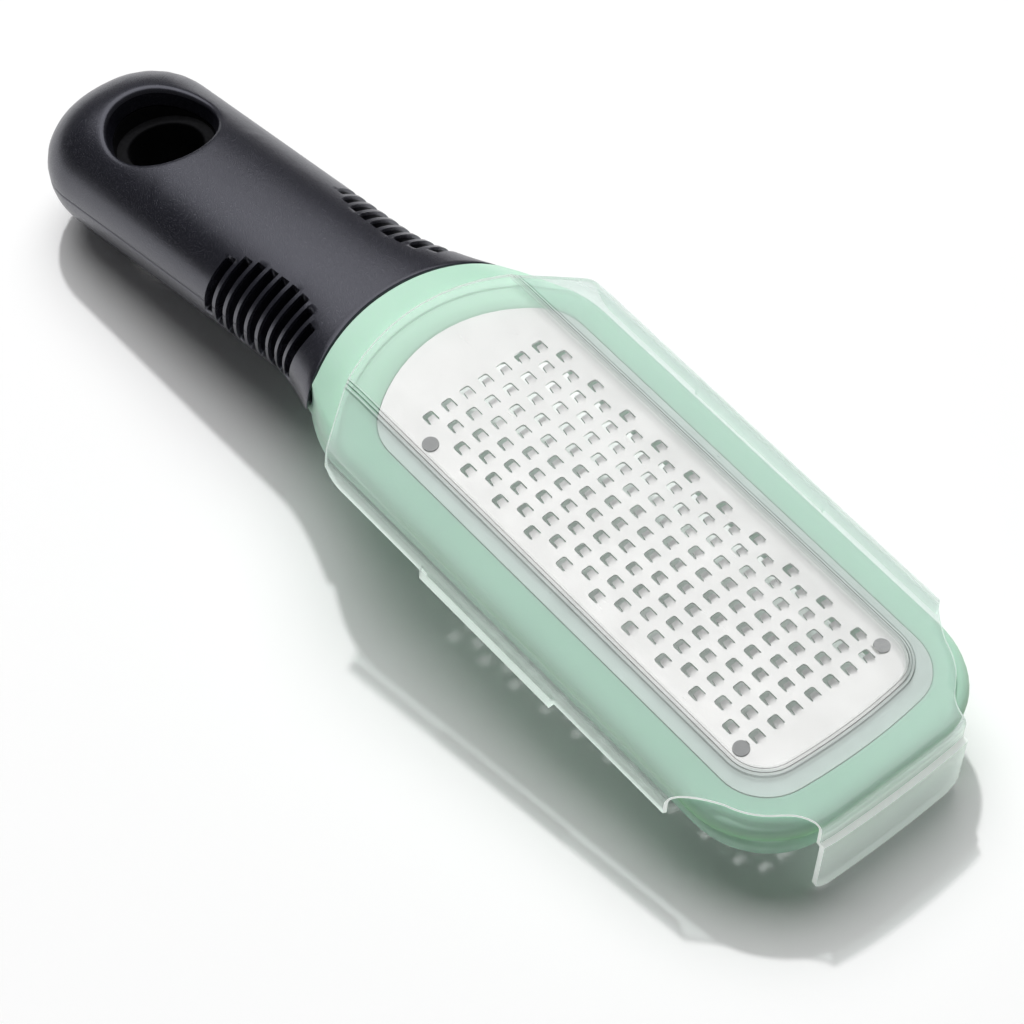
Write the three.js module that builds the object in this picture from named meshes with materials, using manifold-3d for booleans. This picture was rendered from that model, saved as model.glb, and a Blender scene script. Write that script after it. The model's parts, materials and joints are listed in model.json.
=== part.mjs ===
import * as THREE from 'three';
import { mergeVertices } from 'three/addons/utils/BufferGeometryUtils.js';
import Module from 'manifold-3d';

// Ginger grater: a crowned, etched steel plate in a green head frame, a soft grip over a rigid core, and a
// translucent cover that snaps over the head. Millimetres, +Z up, +X from the butt to the tip.
// The head's own frame has z = 0 along the top of the plate's crown and x = 0 at the plate's middle.
// The handle's own frame starts at the neck and droops towards the butt.

// Grating plate. The bow of an end is how far it stands out between the sides.
const plateLength = 104.8;
const plateHalfWidth = 21.3;
const plateThickness = 0.5;
const plateTipBow = 2.56;
const plateTipCorner = 9.5;
const plateHeelBow = 9.1;
const plateHeelCorner = 9;
const crownRadius = 152;
const crownStrip = 8;

// Etched teeth: an opening with a tongue that rises towards the handle
const toothPitch = 4;
const toothHeelMargin = 12.5;
const toothTipMargin = 12.3;
const toothSideMargin = 7;
const openingLength = 2.25;
const openingHalfWidth = 1.08;
const openingCorner = 0.5;
const tongueLength = 1.17;
const tongueHalfWidth = 0.7;
const tongueRise = 0.3;
const tongueThickness = 0.35;
const tongueBury = 0.2;
const locatingHoleRadius = 1.45;
const locatingHoleEdge = 5.9;

// Head frame
const frameTipMargin = 6.4;
const frameSideMargin = 6.3;
const frameHeelMargin = 12.5;
const frameTipBow = 1.47;
const frameTipCorner = 17;
const frameHeelBow = 18.6;
const frameHeelCorner = 16;
const frameDepth = 11.6;
const rimRound = 1.6;
const rimHeight = 3.2;
const grooveDepth = 2.8;
const lipInset = 2;
const lipHeight = 2.4;
const lipRound = 0.6;
const seatWidth = 3.4;

// Neck and handle
const neckLength = 11.5;
const handleDrop = 11;
const handleDroop = THREE.MathUtils.degToRad(14.2);
const jointBow = 44.9;
const jointSetback = 1.3;
const gripLength = 88.3;
const gripHalfWidth = 17.4;
const gripUpperRear = 12.9;
const gripUpperFront = 10.2;
const gripLowerRear = 13.6;
const gripLowerFront = 12.6;
const gripFlare = 3.8;
const gripFlareLength = 15;
const gripButtRound = 15.3;
const gripButtPower = 2.2;
const sectionPower = 2.2;
const neckPower = 4;
const gripWall = 3.6;

// Hang hole
const hangHoleSetback = 24.6;
const hangRimRadius = 10.9;
const hangLedgeRadius = 9;
const hangLedgeHeight = 6.4;
const hangBoreRadius = 7.8;

// Grip fins
const finCount = 9;
const finPitch = 3.05;
const finSlotWidth = 1.9;
const finFieldX = -17.7;
const finFieldZ = 3;
const finFieldTilt = THREE.MathUtils.degToRad(16);
const finFieldLength = 28;
const finFieldHeight = 15.5;
const finSlotDepth = 2.5;

// Tang of the frame in the core
const tangHalfWidth = 9;
const tangHalfHeight = 4;
const tangLength = 34;
const tangBury = 9;

// Cover
const coverWall = 0.8;
const coverSideGap = 2;
const coverTipGap = 0.3;
const coverLift = 0.3;
const panelRaise = 0.6;
const panelHalfWidth = 18;
const panelTipMargin = 4;
const panelTipBow = 1.8;
const panelCorner = 7;
const coverRound = 1.5;
const skirtDepth = 6.4;
const coverHeelMargin = 6;
const coverHeelBow = 41.5;
const tabDepth = 17.5;
const tabHalfWidth = 15.8;
const tabCorner = 2.2;
const tabLedge = 4.5;
const tabProud = 1.1;
const tabRootLength = 3.6;
const tabRootFlare = 0.9;
const cornerCutInset = 2.6;
const cornerCutLead = 3;
const cornerCutLean = 0.6;
const snapBarLength = 32.4;
const snapBarOffset = -3.7;
const snapBarHeight = 1.8;
const snapBarProud = 0.6;

// Fits
const fitGap = 0.3;

// Shape resolution
const cornerSteps = 7;
const bowSteps = 6;
const sectionSides = 32;
const roundSides = 28;
const finSteps = 4;
const cornerCutSteps = 20;
const weldDistance = 1e-4;
const trimHeight = 0.02;
const overshoot = 20;

// Places that follow from the sizes above
const plateTipX = plateLength / 2;
const plateHeelX = -plateLength / 2;
const frameHalfWidth = plateHalfWidth + frameSideMargin;
const frameTipX = plateTipX + frameTipMargin;
const frameHeelX = plateHeelX - frameHeelMargin;
const frameBottom = -frameDepth;
const handleX = plateHeelX - neckLength;
const gripButtX = -gripLength;
const hangHoleX = gripButtX + hangHoleSetback;
const coverOutset = coverSideGap + coverWall;
const coverHalfWidth = frameHalfWidth + coverOutset;
const coverTipX = frameTipX + coverTipGap + coverWall;
const tabStartX = plateTipX;

const wasm = await Module();
wasm.setup();

const xAxis = new THREE.Vector3(1, 0, 0);
const yAxis = new THREE.Vector3(0, 1, 0);
const zAxis = new THREE.Vector3(0, 0, 1);
const alongX = new THREE.Matrix4().makeBasis(yAxis, zAxis, xAxis);
const acrossY = new THREE.Matrix4().makeBasis(xAxis, zAxis, yAxis.clone().negate());
const handleToHead = new THREE.Matrix4().makeRotationY(-handleDroop).setPosition(handleX, 0, -handleDrop);

// A closed geometry as a solid that can be joined and cut
function solid(geometry) {
  const bare = geometry.clone();
  bare.deleteAttribute('normal');
  bare.deleteAttribute('uv');
  const merged = mergeVertices(bare, weldDistance);
  return new wasm.Manifold(new wasm.Mesh({
    numProp: 3,
    vertProperties: new Float32Array(merged.attributes.position.array),
    triVerts: new Uint32Array(merged.index.array),
  }));
}

function join(solids) {
  return wasm.Manifold.union(solids);
}

function geometryOf(body) {
  const mesh = body.getMesh();
  const geometry = new THREE.BufferGeometry();
  geometry.setAttribute('position', new THREE.BufferAttribute(mesh.vertProperties, 3));
  geometry.setIndex(new THREE.BufferAttribute(mesh.triVerts, 1));
  geometry.computeVertexNormals();
  return geometry;
}

// Upright prism over an outline in X and Y
function prism(outline, low, high) {
  const shape = new THREE.Shape(outline);
  const geometry = new THREE.ExtrudeGeometry(shape, { depth: high - low, bevelEnabled: false });
  return solid(geometry.translate(0, 0, low));
}

// Bar along X with a profile in Y and Z
function bar(profile, low, high) {
  const shape = new THREE.Shape(profile);
  const geometry = new THREE.ExtrudeGeometry(shape, { depth: high - low, bevelEnabled: false });
  return solid(geometry.translate(0, 0, low).applyMatrix4(alongX));
}

// Skin over a row of rings with equal counts, counterclockwise about the way they advance, closed by end fans
function loft(rings) {
  const count = rings[0].length;
  const points = rings.flat();
  const faces = [];
  for (let ring = 0; ring + 1 < rings.length; ring += 1) {
    for (let i = 0; i < count; i += 1) {
      const next = (i + 1) % count;
      const a = ring * count + i;
      const b = ring * count + next;
      faces.push(a, b, b + count, a, b + count, a + count);
    }
  }
  const first = points.length;
  const last = first + 1;
  const lastRing = (rings.length - 1) * count;
  const middle = (ring) => ring.reduce((sum, p) => sum.add(p), new THREE.Vector3()).divideScalar(count);
  points.push(middle(rings[0]), middle(rings[rings.length - 1]));
  for (let i = 0; i < count; i += 1) {
    const next = (i + 1) % count;
    faces.push(first, next, i, last, lastRing + i, lastRing + next);
  }
  const geometry = new THREE.BufferGeometry().setFromPoints(points);
  geometry.setIndex(faces);
  return geometry;
}

// Crown of the plate as flat strips, which every piece of the head follows
function crownHeight(y) {
  const reach = Math.abs(y);
  const near = Math.floor(reach / crownStrip) * crownStrip;
  const share = (reach - near) / crownStrip;
  const drop = (distance) => distance * distance / (2 * crownRadius);
  return -THREE.MathUtils.lerp(drop(near), drop(near + crownStrip), share);
}

// Block under the crown, raised or lowered by an offset
function crownBlock(offset) {
  const strips = Math.ceil((coverHalfWidth + overshoot) / crownStrip);
  const reach = strips * crownStrip;
  const low = frameBottom - tabDepth - overshoot;
  const profile = [new THREE.Vector2(-reach, low), new THREE.Vector2(reach, low)];
  for (let y = reach; y >= -reach; y -= crownStrip) {
    profile.push(new THREE.Vector2(y, crownHeight(y) + offset));
  }
  return bar(profile, frameHeelX - overshoot, coverTipX + overshoot);
}

function arc(centreX, centreY, radius, from, to, steps) {
  return Array.from({ length: steps + 1 }, (_, i) => {
    const angle = THREE.MathUtils.lerp(from, to, i / steps);
    return new THREE.Vector2(centreX + radius * Math.cos(angle), centreY + radius * Math.sin(angle));
  });
}

// Radius of the arc that spans two sides and stands out between them by a bow
function bowRadius(halfWidth, bow) {
  return (halfWidth * halfWidth + bow * bow) / (2 * bow);
}

// Middle of the rounded corner at a bowed end
function cornerMiddle({ halfWidth }, { x, bow, corner }) {
  const radius = bowRadius(halfWidth, bow);
  const y = halfWidth - corner;
  return new THREE.Vector2(x - radius + Math.sqrt((radius - corner) ** 2 - y ** 2), y);
}

// Bowed end between two straight sides: corner, bow, corner
function bowedEnd(form, end, inset) {
  const { x: cornerX, y: cornerY } = cornerMiddle(form, end);
  const corner = end.corner - inset;
  const radius = bowRadius(form.halfWidth, end.bow);
  const meet = Math.asin(cornerY / (radius - end.corner));
  const right = Math.PI / 2;
  return [
    ...arc(cornerX, -cornerY, corner, -right, -meet, cornerSteps),
    ...arc(end.x - radius, 0, radius - inset, -meet, meet, bowSteps).slice(1, -1),
    ...arc(cornerX, cornerY, corner, meet, right, cornerSteps),
  ];
}

// Closed outline with a bowed tip and heel, drawn in by an inset all round
function bowedOutline(form, inset = 0) {
  const turned = bowedEnd(form, { ...form.heel, x: -form.heel.x }, inset).map((p) => p.negate());
  return [...bowedEnd(form, form.tip, inset), ...turned];
}

const plateForm = {
  halfWidth: plateHalfWidth,
  tip: { x: plateTipX, bow: plateTipBow, corner: plateTipCorner },
  heel: { x: plateHeelX, bow: plateHeelBow, corner: plateHeelCorner },
};
const frameForm = {
  halfWidth: frameHalfWidth,
  tip: { x: frameTipX, bow: frameTipBow, corner: frameTipCorner },
  heel: { x: frameHeelX, bow: frameHeelBow, corner: frameHeelCorner },
};
const coverForm = {
  halfWidth: coverHalfWidth,
  tip: { x: coverTipX, bow: frameTipBow, corner: frameTipCorner + coverTipGap + coverWall },
  heel: {
    x: frameHeelX - coverOutset,
    bow: frameHeelBow + coverOutset,
    corner: frameHeelCorner + coverOutset,
  },
};
const panelForm = {
  halfWidth: panelHalfWidth,
  tip: { x: plateTipX - panelTipMargin, bow: panelTipBow, corner: panelCorner },
  heel: { x: frameHeelX - overshoot, bow: panelTipBow, corner: panelCorner },
};

// Rows of teeth on a staggered grid, clear of the round locating holes
function toothGrid() {
  const firstX = plateHeelX + toothHeelMargin;
  const rows = Math.floor((plateLength - toothHeelMargin - toothTipMargin) / toothPitch + 1e-6) + 1;
  const rowX = (row) => firstX + row * toothPitch;
  const holeY = plateHalfWidth - locatingHoleEdge;
  const locating = [
    new THREE.Vector2(rowX(1), -holeY),
    new THREE.Vector2(rowX(rows - 1), -holeY),
    new THREE.Vector2(rowX(rows - 1), holeY),
  ];
  const half = plateHalfWidth - toothSideMargin;
  const clearance = locatingHoleRadius + openingHalfWidth;
  const teeth = [];
  for (let row = 0; row < rows; row += 1) {
    const stagger = row % 2 === 0 ? 0 : toothPitch / 2;
    const columns = Math.floor((half - stagger) / toothPitch);
    const first = stagger === 0 ? -columns : -columns - 1;
    for (let column = first; column <= columns; column += 1) {
      const tooth = new THREE.Vector2(rowX(row), stagger + column * toothPitch);
      if (locating.every((hole) => hole.distanceTo(tooth) > clearance)) teeth.push(tooth);
    }
  }
  return { teeth, locating };
}

// Opening of one tooth, with its handle-side corners cut back
function toothOpening(tooth) {
  const heel = tooth.x - openingLength / 2;
  const tip = tooth.x + openingLength / 2;
  const wide = openingHalfWidth;
  const narrow = openingHalfWidth - openingCorner;
  const corners = [
    [tip, -wide], [tip, wide], [heel + openingCorner, wide], [heel, narrow], [heel, -narrow],
    [heel + openingCorner, -wide],
  ];
  const outline = corners.map(([x, y]) => new THREE.Vector2(x, tooth.y + y));
  return prism(outline, -overshoot, overshoot);
}

// Tongue of one tooth: a wedge from its buried root up to its cutting edge, level with the crown across
function toothTongue(tooth) {
  const half = tongueHalfWidth;
  const buryDrop = tongueBury * tongueRise / tongueLength;
  const profile = [
    new THREE.Vector2(tongueBury, -buryDrop),
    new THREE.Vector2(-tongueLength, tongueRise),
    new THREE.Vector2(tongueBury, -buryDrop - tongueThickness),
  ];
  const wedge = new THREE.ExtrudeGeometry(new THREE.Shape(profile), { depth: 2 * half, bevelEnabled: false });
  const slope = (crownHeight(tooth.y + half) - crownHeight(tooth.y - half)) / (2 * half);
  wedge.translate(0, 0, -half).applyMatrix4(acrossY).rotateX(Math.atan(slope));
  return solid(wedge.translate(tooth.x + openingLength / 2, tooth.y, crownHeight(tooth.y)));
}

function gratingPlate() {
  const { teeth, locating } = toothGrid();
  const blank = prism(bowedOutline(plateForm), -overshoot, overshoot)
    .intersect(crownBlock(0))
    .subtract(crownBlock(-plateThickness));
  const round = ({ x, y }) => {
    const outline = arc(x, y, locatingHoleRadius, 0, 2 * Math.PI, roundSides / 2).slice(1);
    return prism(outline, -overshoot, overshoot);
  };
  const cuts = join([...teeth.map(toothOpening), ...locating.map(round)]);
  return blank.subtract(cuts).add(join(teeth.map(toothTongue)));
}

// Ring of an outline at a level, or at a drop below the crown
function levelRing(form, inset, height) {
  return bowedOutline(form, inset).map(({ x, y }) => new THREE.Vector3(x, y, height));
}

function crownRing(form, inset, drop) {
  return bowedOutline(form, inset).map(({ x, y }) => new THREE.Vector3(x, y, crownHeight(y) - drop));
}

// Rim of the head: underside lip, groove, rounded edge, and a top that follows the crown
function headRim() {
  const lipTop = frameBottom + lipHeight;
  const rings = [
    levelRing(frameForm, lipInset + lipRound, frameBottom),
    levelRing(frameForm, lipInset, frameBottom + lipRound),
    levelRing(frameForm, lipInset, lipTop),
    levelRing(frameForm, grooveDepth, lipTop + grooveDepth - lipInset),
    crownRing(frameForm, grooveDepth, rimHeight + grooveDepth),
    crownRing(frameForm, lipRound / 2, rimHeight),
    crownRing(frameForm, 0, rimRound),
    crownRing(frameForm, rimRound * 0.3, rimRound * 0.3),
    crownRing(frameForm, rimRound, -trimHeight),
    levelRing(frameForm, rimRound, overshoot),
  ];
  return solid(loft(rings)).intersect(crownBlock(0));
}

// Oval section of the handle: wide sides, and different heights above and below its axis
function ovalRing(x, halfWidth, upper, lower, middle = 0, power = sectionPower) {
  return Array.from({ length: sectionSides }, (_, i) => {
    const angle = 2 * Math.PI * i / sectionSides;
    const c = Math.cos(angle);
    const s = Math.sin(angle);
    const y = halfWidth * Math.sign(c) * Math.abs(c) ** (2 / power);
    const z = (s > 0 ? upper : lower) * Math.sign(s) * Math.abs(s) ** (2 / power);
    return new THREE.Vector3(x, y, middle + z);
  });
}

// Handle section at a station, drawn in by an inset and closed round at the butt
function handleRing(x, inset = 0) {
  const buttX = gripButtX + inset;
  const roundLength = gripButtRound - inset;
  const into = THREE.MathUtils.clamp((buttX + roundLength - x) / roundLength, 0, 1);
  const close = (1 - into ** gripButtPower) ** (1 / gripButtPower);
  const share = THREE.MathUtils.clamp(x / gripButtX, 0, 1);
  const flareShare = THREE.MathUtils.clamp(1 + (x - jointSetback) / gripFlareLength, 0, 2);
  const flare = inset === 0 ? gripFlare * flareShare ** 1.5 : 0;
  const upper = THREE.MathUtils.lerp(gripUpperFront, gripUpperRear, share) - inset;
  const lower = THREE.MathUtils.lerp(gripLowerFront, gripLowerRear, share) - inset;
  return ovalRing(x, (gripHalfWidth + flare - inset) * close, upper * close, lower * close);
}

// Stations from the butt's rounding to the front of the handle
function handleStations(front, inset = 0) {
  const roundLength = gripButtRound - inset;
  const roundX = gripButtX + inset + roundLength;
  const butt = [81, 66, 50, 33, 16, 0].map((degrees) => {
    return roundX - roundLength * Math.sin(THREE.MathUtils.degToRad(degrees));
  });
  const flareX = jointSetback - gripFlareLength;
  const straight = [flareX, flareX + gripFlareLength / 3, flareX + 2 * gripFlareLength / 3];
  return [...butt, ...straight, front];
}

// Cylinder, upright in the head's frame and leaning in the handle's, whose bow parts the grip from the neck
function jointCylinder(grow) {
  const outline = arc(jointBow - jointSetback, 0, jointBow + grow, 0, 2 * Math.PI, 2 * roundSides).slice(1);
  const shape = new THREE.Shape(outline);
  const depth = 2 * overshoot + gripUpperRear + gripLowerRear;
  const geometry = new THREE.ExtrudeGeometry(shape, { depth, bevelEnabled: false });
  return geometry.translate(0, 0, -depth / 2).rotateY(handleDroop);
}

// Neck: grows out of the handle's own sections and runs up into the sides and underside of the rim
function headNeck() {
  const reach = gripFlareLength / 4;
  const inHead = (x) => handleRing(x).map((p) => p.applyMatrix4(handleToHead));
  const depth = frameDepth - lipRound;
  const rimX = plateHeelX + seatWidth;
  const near = inHead(0);
  const rimHalf = frameHalfWidth - lipInset - lipRound;
  const far = ovalRing(rimX, rimHalf, depth / 2, depth / 2, -depth / 2, neckPower);
  const blends = [0, 0.25, 0.5, 0.75, 1].map((share) => {
    return near.map((p, i) => new THREE.Vector3().lerpVectors(p, far[i], share));
  });
  return solid(loft([inHead(-2 * reach), inHead(-reach), ...blends]))
    .intersect(crownBlock(0))
    .intersect(solid(jointCylinder(0).applyMatrix4(handleToHead)));
}

// Tang in the handle's frame, or its slot when grown by the fit
function tangBlock(grow) {
  const length = tangLength + tangBury + grow;
  const geometry = new THREE.BoxGeometry(length, 2 * (tangHalfWidth + grow), 2 * (tangHalfHeight + grow));
  return geometry.translate(tangBury - length / 2, 0, 0);
}

function headFrame() {
  const tang = solid(tangBlock(0).applyMatrix4(handleToHead));
  const body = join([headRim(), headNeck(), tang]);
  const pocket = prism(bowedOutline(plateForm, -fitGap), -overshoot, overshoot)
    .subtract(crownBlock(-plateThickness - fitGap));
  const window = prism(bowedOutline(plateForm, seatWidth), frameBottom - overshoot, overshoot);
  return body.subtract(pocket).subtract(window);
}

// Upright round cutter in the handle's frame at the hang hole
function hangCutter(lowRadius, highRadius, low, high) {
  const geometry = new THREE.CylinderGeometry(highRadius, lowRadius, high - low, roundSides);
  return solid(geometry.rotateX(Math.PI / 2).translate(hangHoleX, 0, (low + high) / 2));
}

function handleCore() {
  const front = gripFlareLength / 2;
  const rings = handleStations(front, gripWall).map((x) => handleRing(x, gripWall));
  const slot = solid(tangBlock(fitGap));
  const recessRadius = hangLedgeRadius + fitGap;
  const top = gripUpperRear + overshoot;
  const bottom = -gripLowerRear - overshoot;
  return solid(loft(rings))
    .subtract(slot)
    .subtract(solid(jointCylinder(fitGap)))
    .subtract(hangCutter(hangBoreRadius, hangBoreRadius, bottom, top))
    .subtract(hangCutter(recessRadius, recessRadius, hangLedgeHeight, top))
    .subtract(hangCutter(recessRadius, recessRadius, bottom, -hangLedgeHeight));
}

// Slots of one fin field: each dips into the side of the grip as a bow, all of them fill a lens, and they
// lean as the joint does
function finSlots(side) {
  const lean = new THREE.Matrix4().makeShear(0, 0, 0, 0, Math.tan(handleDroop), 0);
  const surfaceY = gripHalfWidth * Math.sqrt(1 - (finFieldZ / gripUpperRear) ** 2);
  const slots = Array.from({ length: finCount }, (_, i) => {
    const x = finPitch * (i - (finCount - 1) / 2);
    const share = Math.sqrt(1 - (2 * x / finFieldLength) ** 2);
    const half = share * finFieldHeight / 2;
    const floor = Array.from({ length: finSteps + 1 }, (_, step) => {
      const angle = Math.PI * step / finSteps;
      return new THREE.Vector2(-side * share * finSlotDepth * Math.sin(angle), -half * Math.cos(angle));
    });
    const outer = side * finFieldHeight;
    const profile = [...floor, new THREE.Vector2(outer, half), new THREE.Vector2(outer, -half)];
    const shape = new THREE.Shape(profile);
    const slot = new THREE.ExtrudeGeometry(shape, { depth: finSlotWidth, bevelEnabled: false });
    slot.translate(0, 0, x - finSlotWidth / 2).applyMatrix4(alongX).rotateX(side * finFieldTilt);
    return solid(slot.applyMatrix4(lean).translate(finFieldX, side * surfaceY, finFieldZ));
  });
  return join(slots);
}

function softGrip() {
  const front = 2 * jointBow;
  const outside = solid(loft(handleStations(gripFlareLength / 2).map((x) => handleRing(x))));
  const cavityInset = gripWall - fitGap;
  const cavity = solid(loft(handleStations(front, cavityInset).map((x) => handleRing(x, cavityInset))));
  const rimHeight = gripUpperRear + overshoot;
  const spread = (hangRimRadius - hangLedgeRadius) / (gripUpperRear - hangLedgeHeight);
  const farRadius = hangLedgeRadius + spread * (rimHeight - hangLedgeHeight);
  return outside
    .subtract(cavity)
    .subtract(solid(jointCylinder(fitGap)))
    .subtract(hangCutter(hangLedgeRadius, farRadius, hangLedgeHeight, rimHeight))
    .subtract(hangCutter(farRadius, hangLedgeRadius, -rimHeight, -hangLedgeHeight))
    .subtract(join([finSlots(1), finSlots(-1)]));
}

// Outside or inside of the cover's shell: straight skirt, rounded fold, top along the crown
function coverShell(inset, lift, foldRound) {
  const bottom = -tabDepth - (inset > 0 ? overshoot : 0);
  const rings = [
    levelRing(coverForm, inset, bottom),
    crownRing(coverForm, inset, foldRound - lift),
    crownRing(coverForm, inset + foldRound * 0.3, foldRound * 0.3 - lift),
    crownRing(coverForm, inset + foldRound, -lift - trimHeight),
    levelRing(coverForm, inset + foldRound, overshoot),
  ];
  return solid(loft(rings)).intersect(crownBlock(lift));
}

// Raised panel of the cover over the plate
function coverPanel(inset, lift) {
  return prism(bowedOutline(panelForm, inset), crownHeight(panelHalfWidth) - rimHeight, overshoot)
    .intersect(crownBlock(lift));
}

// Cut-away at a tip corner, which leaves the frame's rounded corner bare
function cornerCut(side) {
  const { x: cornerX, y: cornerY } = cornerMiddle(frameForm, frameForm.tip);
  const radius = frameTipCorner - cornerCutInset;
  const onCorner = (degrees) => {
    const angle = THREE.MathUtils.degToRad(degrees);
    return new THREE.Vector2(cornerX + radius * Math.cos(angle), cornerY + radius * Math.sin(angle));
  };
  const startX = cornerX - cornerCutLead;
  const curve = new THREE.SplineCurve([
    new THREE.Vector2(startX, coverHalfWidth + cornerCutLead),
    new THREE.Vector2(startX + cornerCutLean, frameHalfWidth),
    onCorner(78), onCorner(58), onCorner(38),
    new THREE.Vector2(frameTipX - tabRootLength, tabHalfWidth + tabRootFlare),
    new THREE.Vector2(frameTipX - tabRootFlare, tabHalfWidth),
    new THREE.Vector2(coverTipX + cornerCutLead, tabHalfWidth),
  ]);
  const far = coverHalfWidth + overshoot;
  const outline = curve.getPoints(cornerCutSteps);
  outline.push(new THREE.Vector2(coverTipX + overshoot, far), new THREE.Vector2(startX, far));
  return prism(outline.map(({ x, y }) => new THREE.Vector2(x, side * y)), -tabDepth - overshoot, overshoot);
}

// Thick lower part of the pull tab, which stands out from the skirt by a ledge
function tabPad() {
  const block = bar([
    new THREE.Vector2(-tabHalfWidth, -tabDepth), new THREE.Vector2(tabHalfWidth, -tabDepth),
    new THREE.Vector2(tabHalfWidth, -tabLedge), new THREE.Vector2(-tabHalfWidth, -tabLedge),
  ], tabStartX, coverTipX + overshoot);
  return prism(bowedOutline(coverForm, -tabProud), -tabDepth, -tabLedge).intersect(block);
}

// Everything below the skirt apart from the pull tab with its rounded lower corners
function skirtTrim() {
  const far = coverHalfWidth + overshoot;
  const low = -tabDepth - overshoot;
  const sides = bar([
    new THREE.Vector2(-far, low), new THREE.Vector2(far, low),
    new THREE.Vector2(far, -skirtDepth), new THREE.Vector2(-far, -skirtDepth),
  ], frameHeelX - overshoot, tabStartX);
  const corner = (side) => {
    const centreY = tabHalfWidth - tabCorner;
    const round = arc(centreY, tabCorner - tabDepth, tabCorner, 0, -Math.PI / 2, cornerSteps);
    const outline = [...round, new THREE.Vector2(centreY, low), new THREE.Vector2(far, low)];
    outline.push(new THREE.Vector2(far, tabCorner - tabDepth));
    return bar(outline.map(({ x, y }) => new THREE.Vector2(side * x, y)), tabStartX, coverTipX + overshoot);
  };
  return join([sides, corner(1), corner(-1)]);
}

// Snap bar along a side skirt: a finger ledge outside and a bead over the rim inside
function snapBar(side) {
  const inner = frameHalfWidth + fitGap;
  const outer = coverHalfWidth + snapBarProud;
  const middle = snapBarProud - skirtDepth;
  const half = snapBarHeight / 2;
  const profile = [
    [inner, middle], [inner + half, middle - half], [outer - half / 2, middle - half],
    [outer, middle - half / 2], [outer, middle + half / 2], [outer - half / 2, middle + half],
    [inner + half, middle + half],
  ];
  const points = profile.map(([y, z]) => new THREE.Vector2(side * y, z));
  return bar(points, snapBarOffset - snapBarLength / 2, snapBarOffset + snapBarLength / 2);
}

function snapCover() {
  const outsideLift = coverLift + coverWall;
  const outside = coverShell(0, outsideLift, coverRound)
    .add(coverPanel(0, outsideLift + panelRaise))
    .add(tabPad());
  const inside = coverShell(coverWall, coverLift, coverRound - coverWall)
    .add(coverPanel(coverWall, coverLift + panelRaise));
  const heelX = plateHeelX - coverHeelMargin;
  const heelArc = arc(heelX + coverHeelBow, 0, coverHeelBow, Math.PI / 2, 3 * Math.PI / 2, roundSides);
  const farX = coverTipX + overshoot;
  const keep = [...heelArc, new THREE.Vector2(farX, -coverHeelBow), new THREE.Vector2(farX, coverHeelBow)];
  return outside
    .subtract(inside)
    .intersect(prism(keep, -tabDepth - overshoot, overshoot))
    .subtract(skirtTrim())
    .subtract(cornerCut(1))
    .subtract(cornerCut(-1))
    .add(snapBar(1))
    .add(snapBar(-1));
}

const steel = new THREE.MeshStandardMaterial({ color: '#dcdcd9', roughness: 0.3, metalness: 1 });
const green = new THREE.MeshStandardMaterial({ color: '#a9dcb4', roughness: 0.45, metalness: 0 });
const charcoal = new THREE.MeshStandardMaterial({ color: '#36363b', roughness: 0.75, metalness: 0 });
const black = new THREE.MeshStandardMaterial({ color: '#141416', roughness: 0.5, metalness: 0 });
const milky = new THREE.MeshStandardMaterial({
  color: '#e8f0ec', roughness: 0.35, metalness: 0, transparent: true, opacity: 0.4,
});

function piece(name, body, material) {
  const mesh = new THREE.Mesh(geometryOf(body), material);
  mesh.name = name;
  return mesh;
}

const plate = piece('grating_plate', gratingPlate(), steel);
const frame = piece('head_frame', headFrame(), green);
const cover = piece('snap_cover', snapCover(), milky);
const grip = piece('soft_grip', softGrip(), charcoal);
const core = piece('handle_core', handleCore(), black);

// Lowest height of a mesh when the head leans forward by a tilt
function lowest(mesh, placement, tilt) {
  const lean = new THREE.Matrix4().makeRotationY(tilt).multiply(placement);
  const { position } = mesh.geometry.clone().applyMatrix4(lean).attributes;
  return new THREE.Box3().setFromBufferAttribute(position).min.z;
}

// Tilt at which the grip's butt and the cover's tab stand on one level surface
function restingTilt() {
  let low = 0;
  let high = Math.PI / 8;
  for (let step = 0; step < 40; step += 1) {
    const tilt = (low + high) / 2;
    const gripLow = lowest(grip, handleToHead, tilt);
    const coverLow = lowest(cover, new THREE.Matrix4(), tilt);
    if (gripLow < coverLow) low = tilt;
    else high = tilt;
  }
  return low;
}

const handle = new THREE.Group();
handle.applyMatrix4(handleToHead);
handle.add(grip, core);

const head = new THREE.Group();
head.rotation.y = restingTilt();
head.add(plate, frame, cover, handle);

const grater = new THREE.Group();
grater.add(head);
grater.updateMatrixWorld(true);
const reach = new THREE.Box3().setFromObject(grater, true);
head.position.set(-(reach.min.x + reach.max.x) / 2, 0, -reach.min.z);

export default grater;
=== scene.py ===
import json
import math

import bmesh
import bpy
from mathutils import Matrix, Vector


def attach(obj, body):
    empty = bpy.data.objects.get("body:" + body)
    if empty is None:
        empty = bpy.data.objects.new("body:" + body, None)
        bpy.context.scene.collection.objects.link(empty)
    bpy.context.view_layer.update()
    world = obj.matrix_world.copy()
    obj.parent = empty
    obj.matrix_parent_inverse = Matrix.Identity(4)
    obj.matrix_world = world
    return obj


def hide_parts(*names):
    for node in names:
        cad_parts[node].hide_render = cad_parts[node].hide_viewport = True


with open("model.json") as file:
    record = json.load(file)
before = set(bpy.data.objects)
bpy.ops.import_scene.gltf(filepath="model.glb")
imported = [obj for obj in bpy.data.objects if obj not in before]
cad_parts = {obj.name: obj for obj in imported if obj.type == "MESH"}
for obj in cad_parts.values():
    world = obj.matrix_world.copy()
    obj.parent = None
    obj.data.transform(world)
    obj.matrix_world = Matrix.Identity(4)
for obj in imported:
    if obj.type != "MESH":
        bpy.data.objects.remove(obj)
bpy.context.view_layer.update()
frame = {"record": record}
print("frame loaded")

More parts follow.
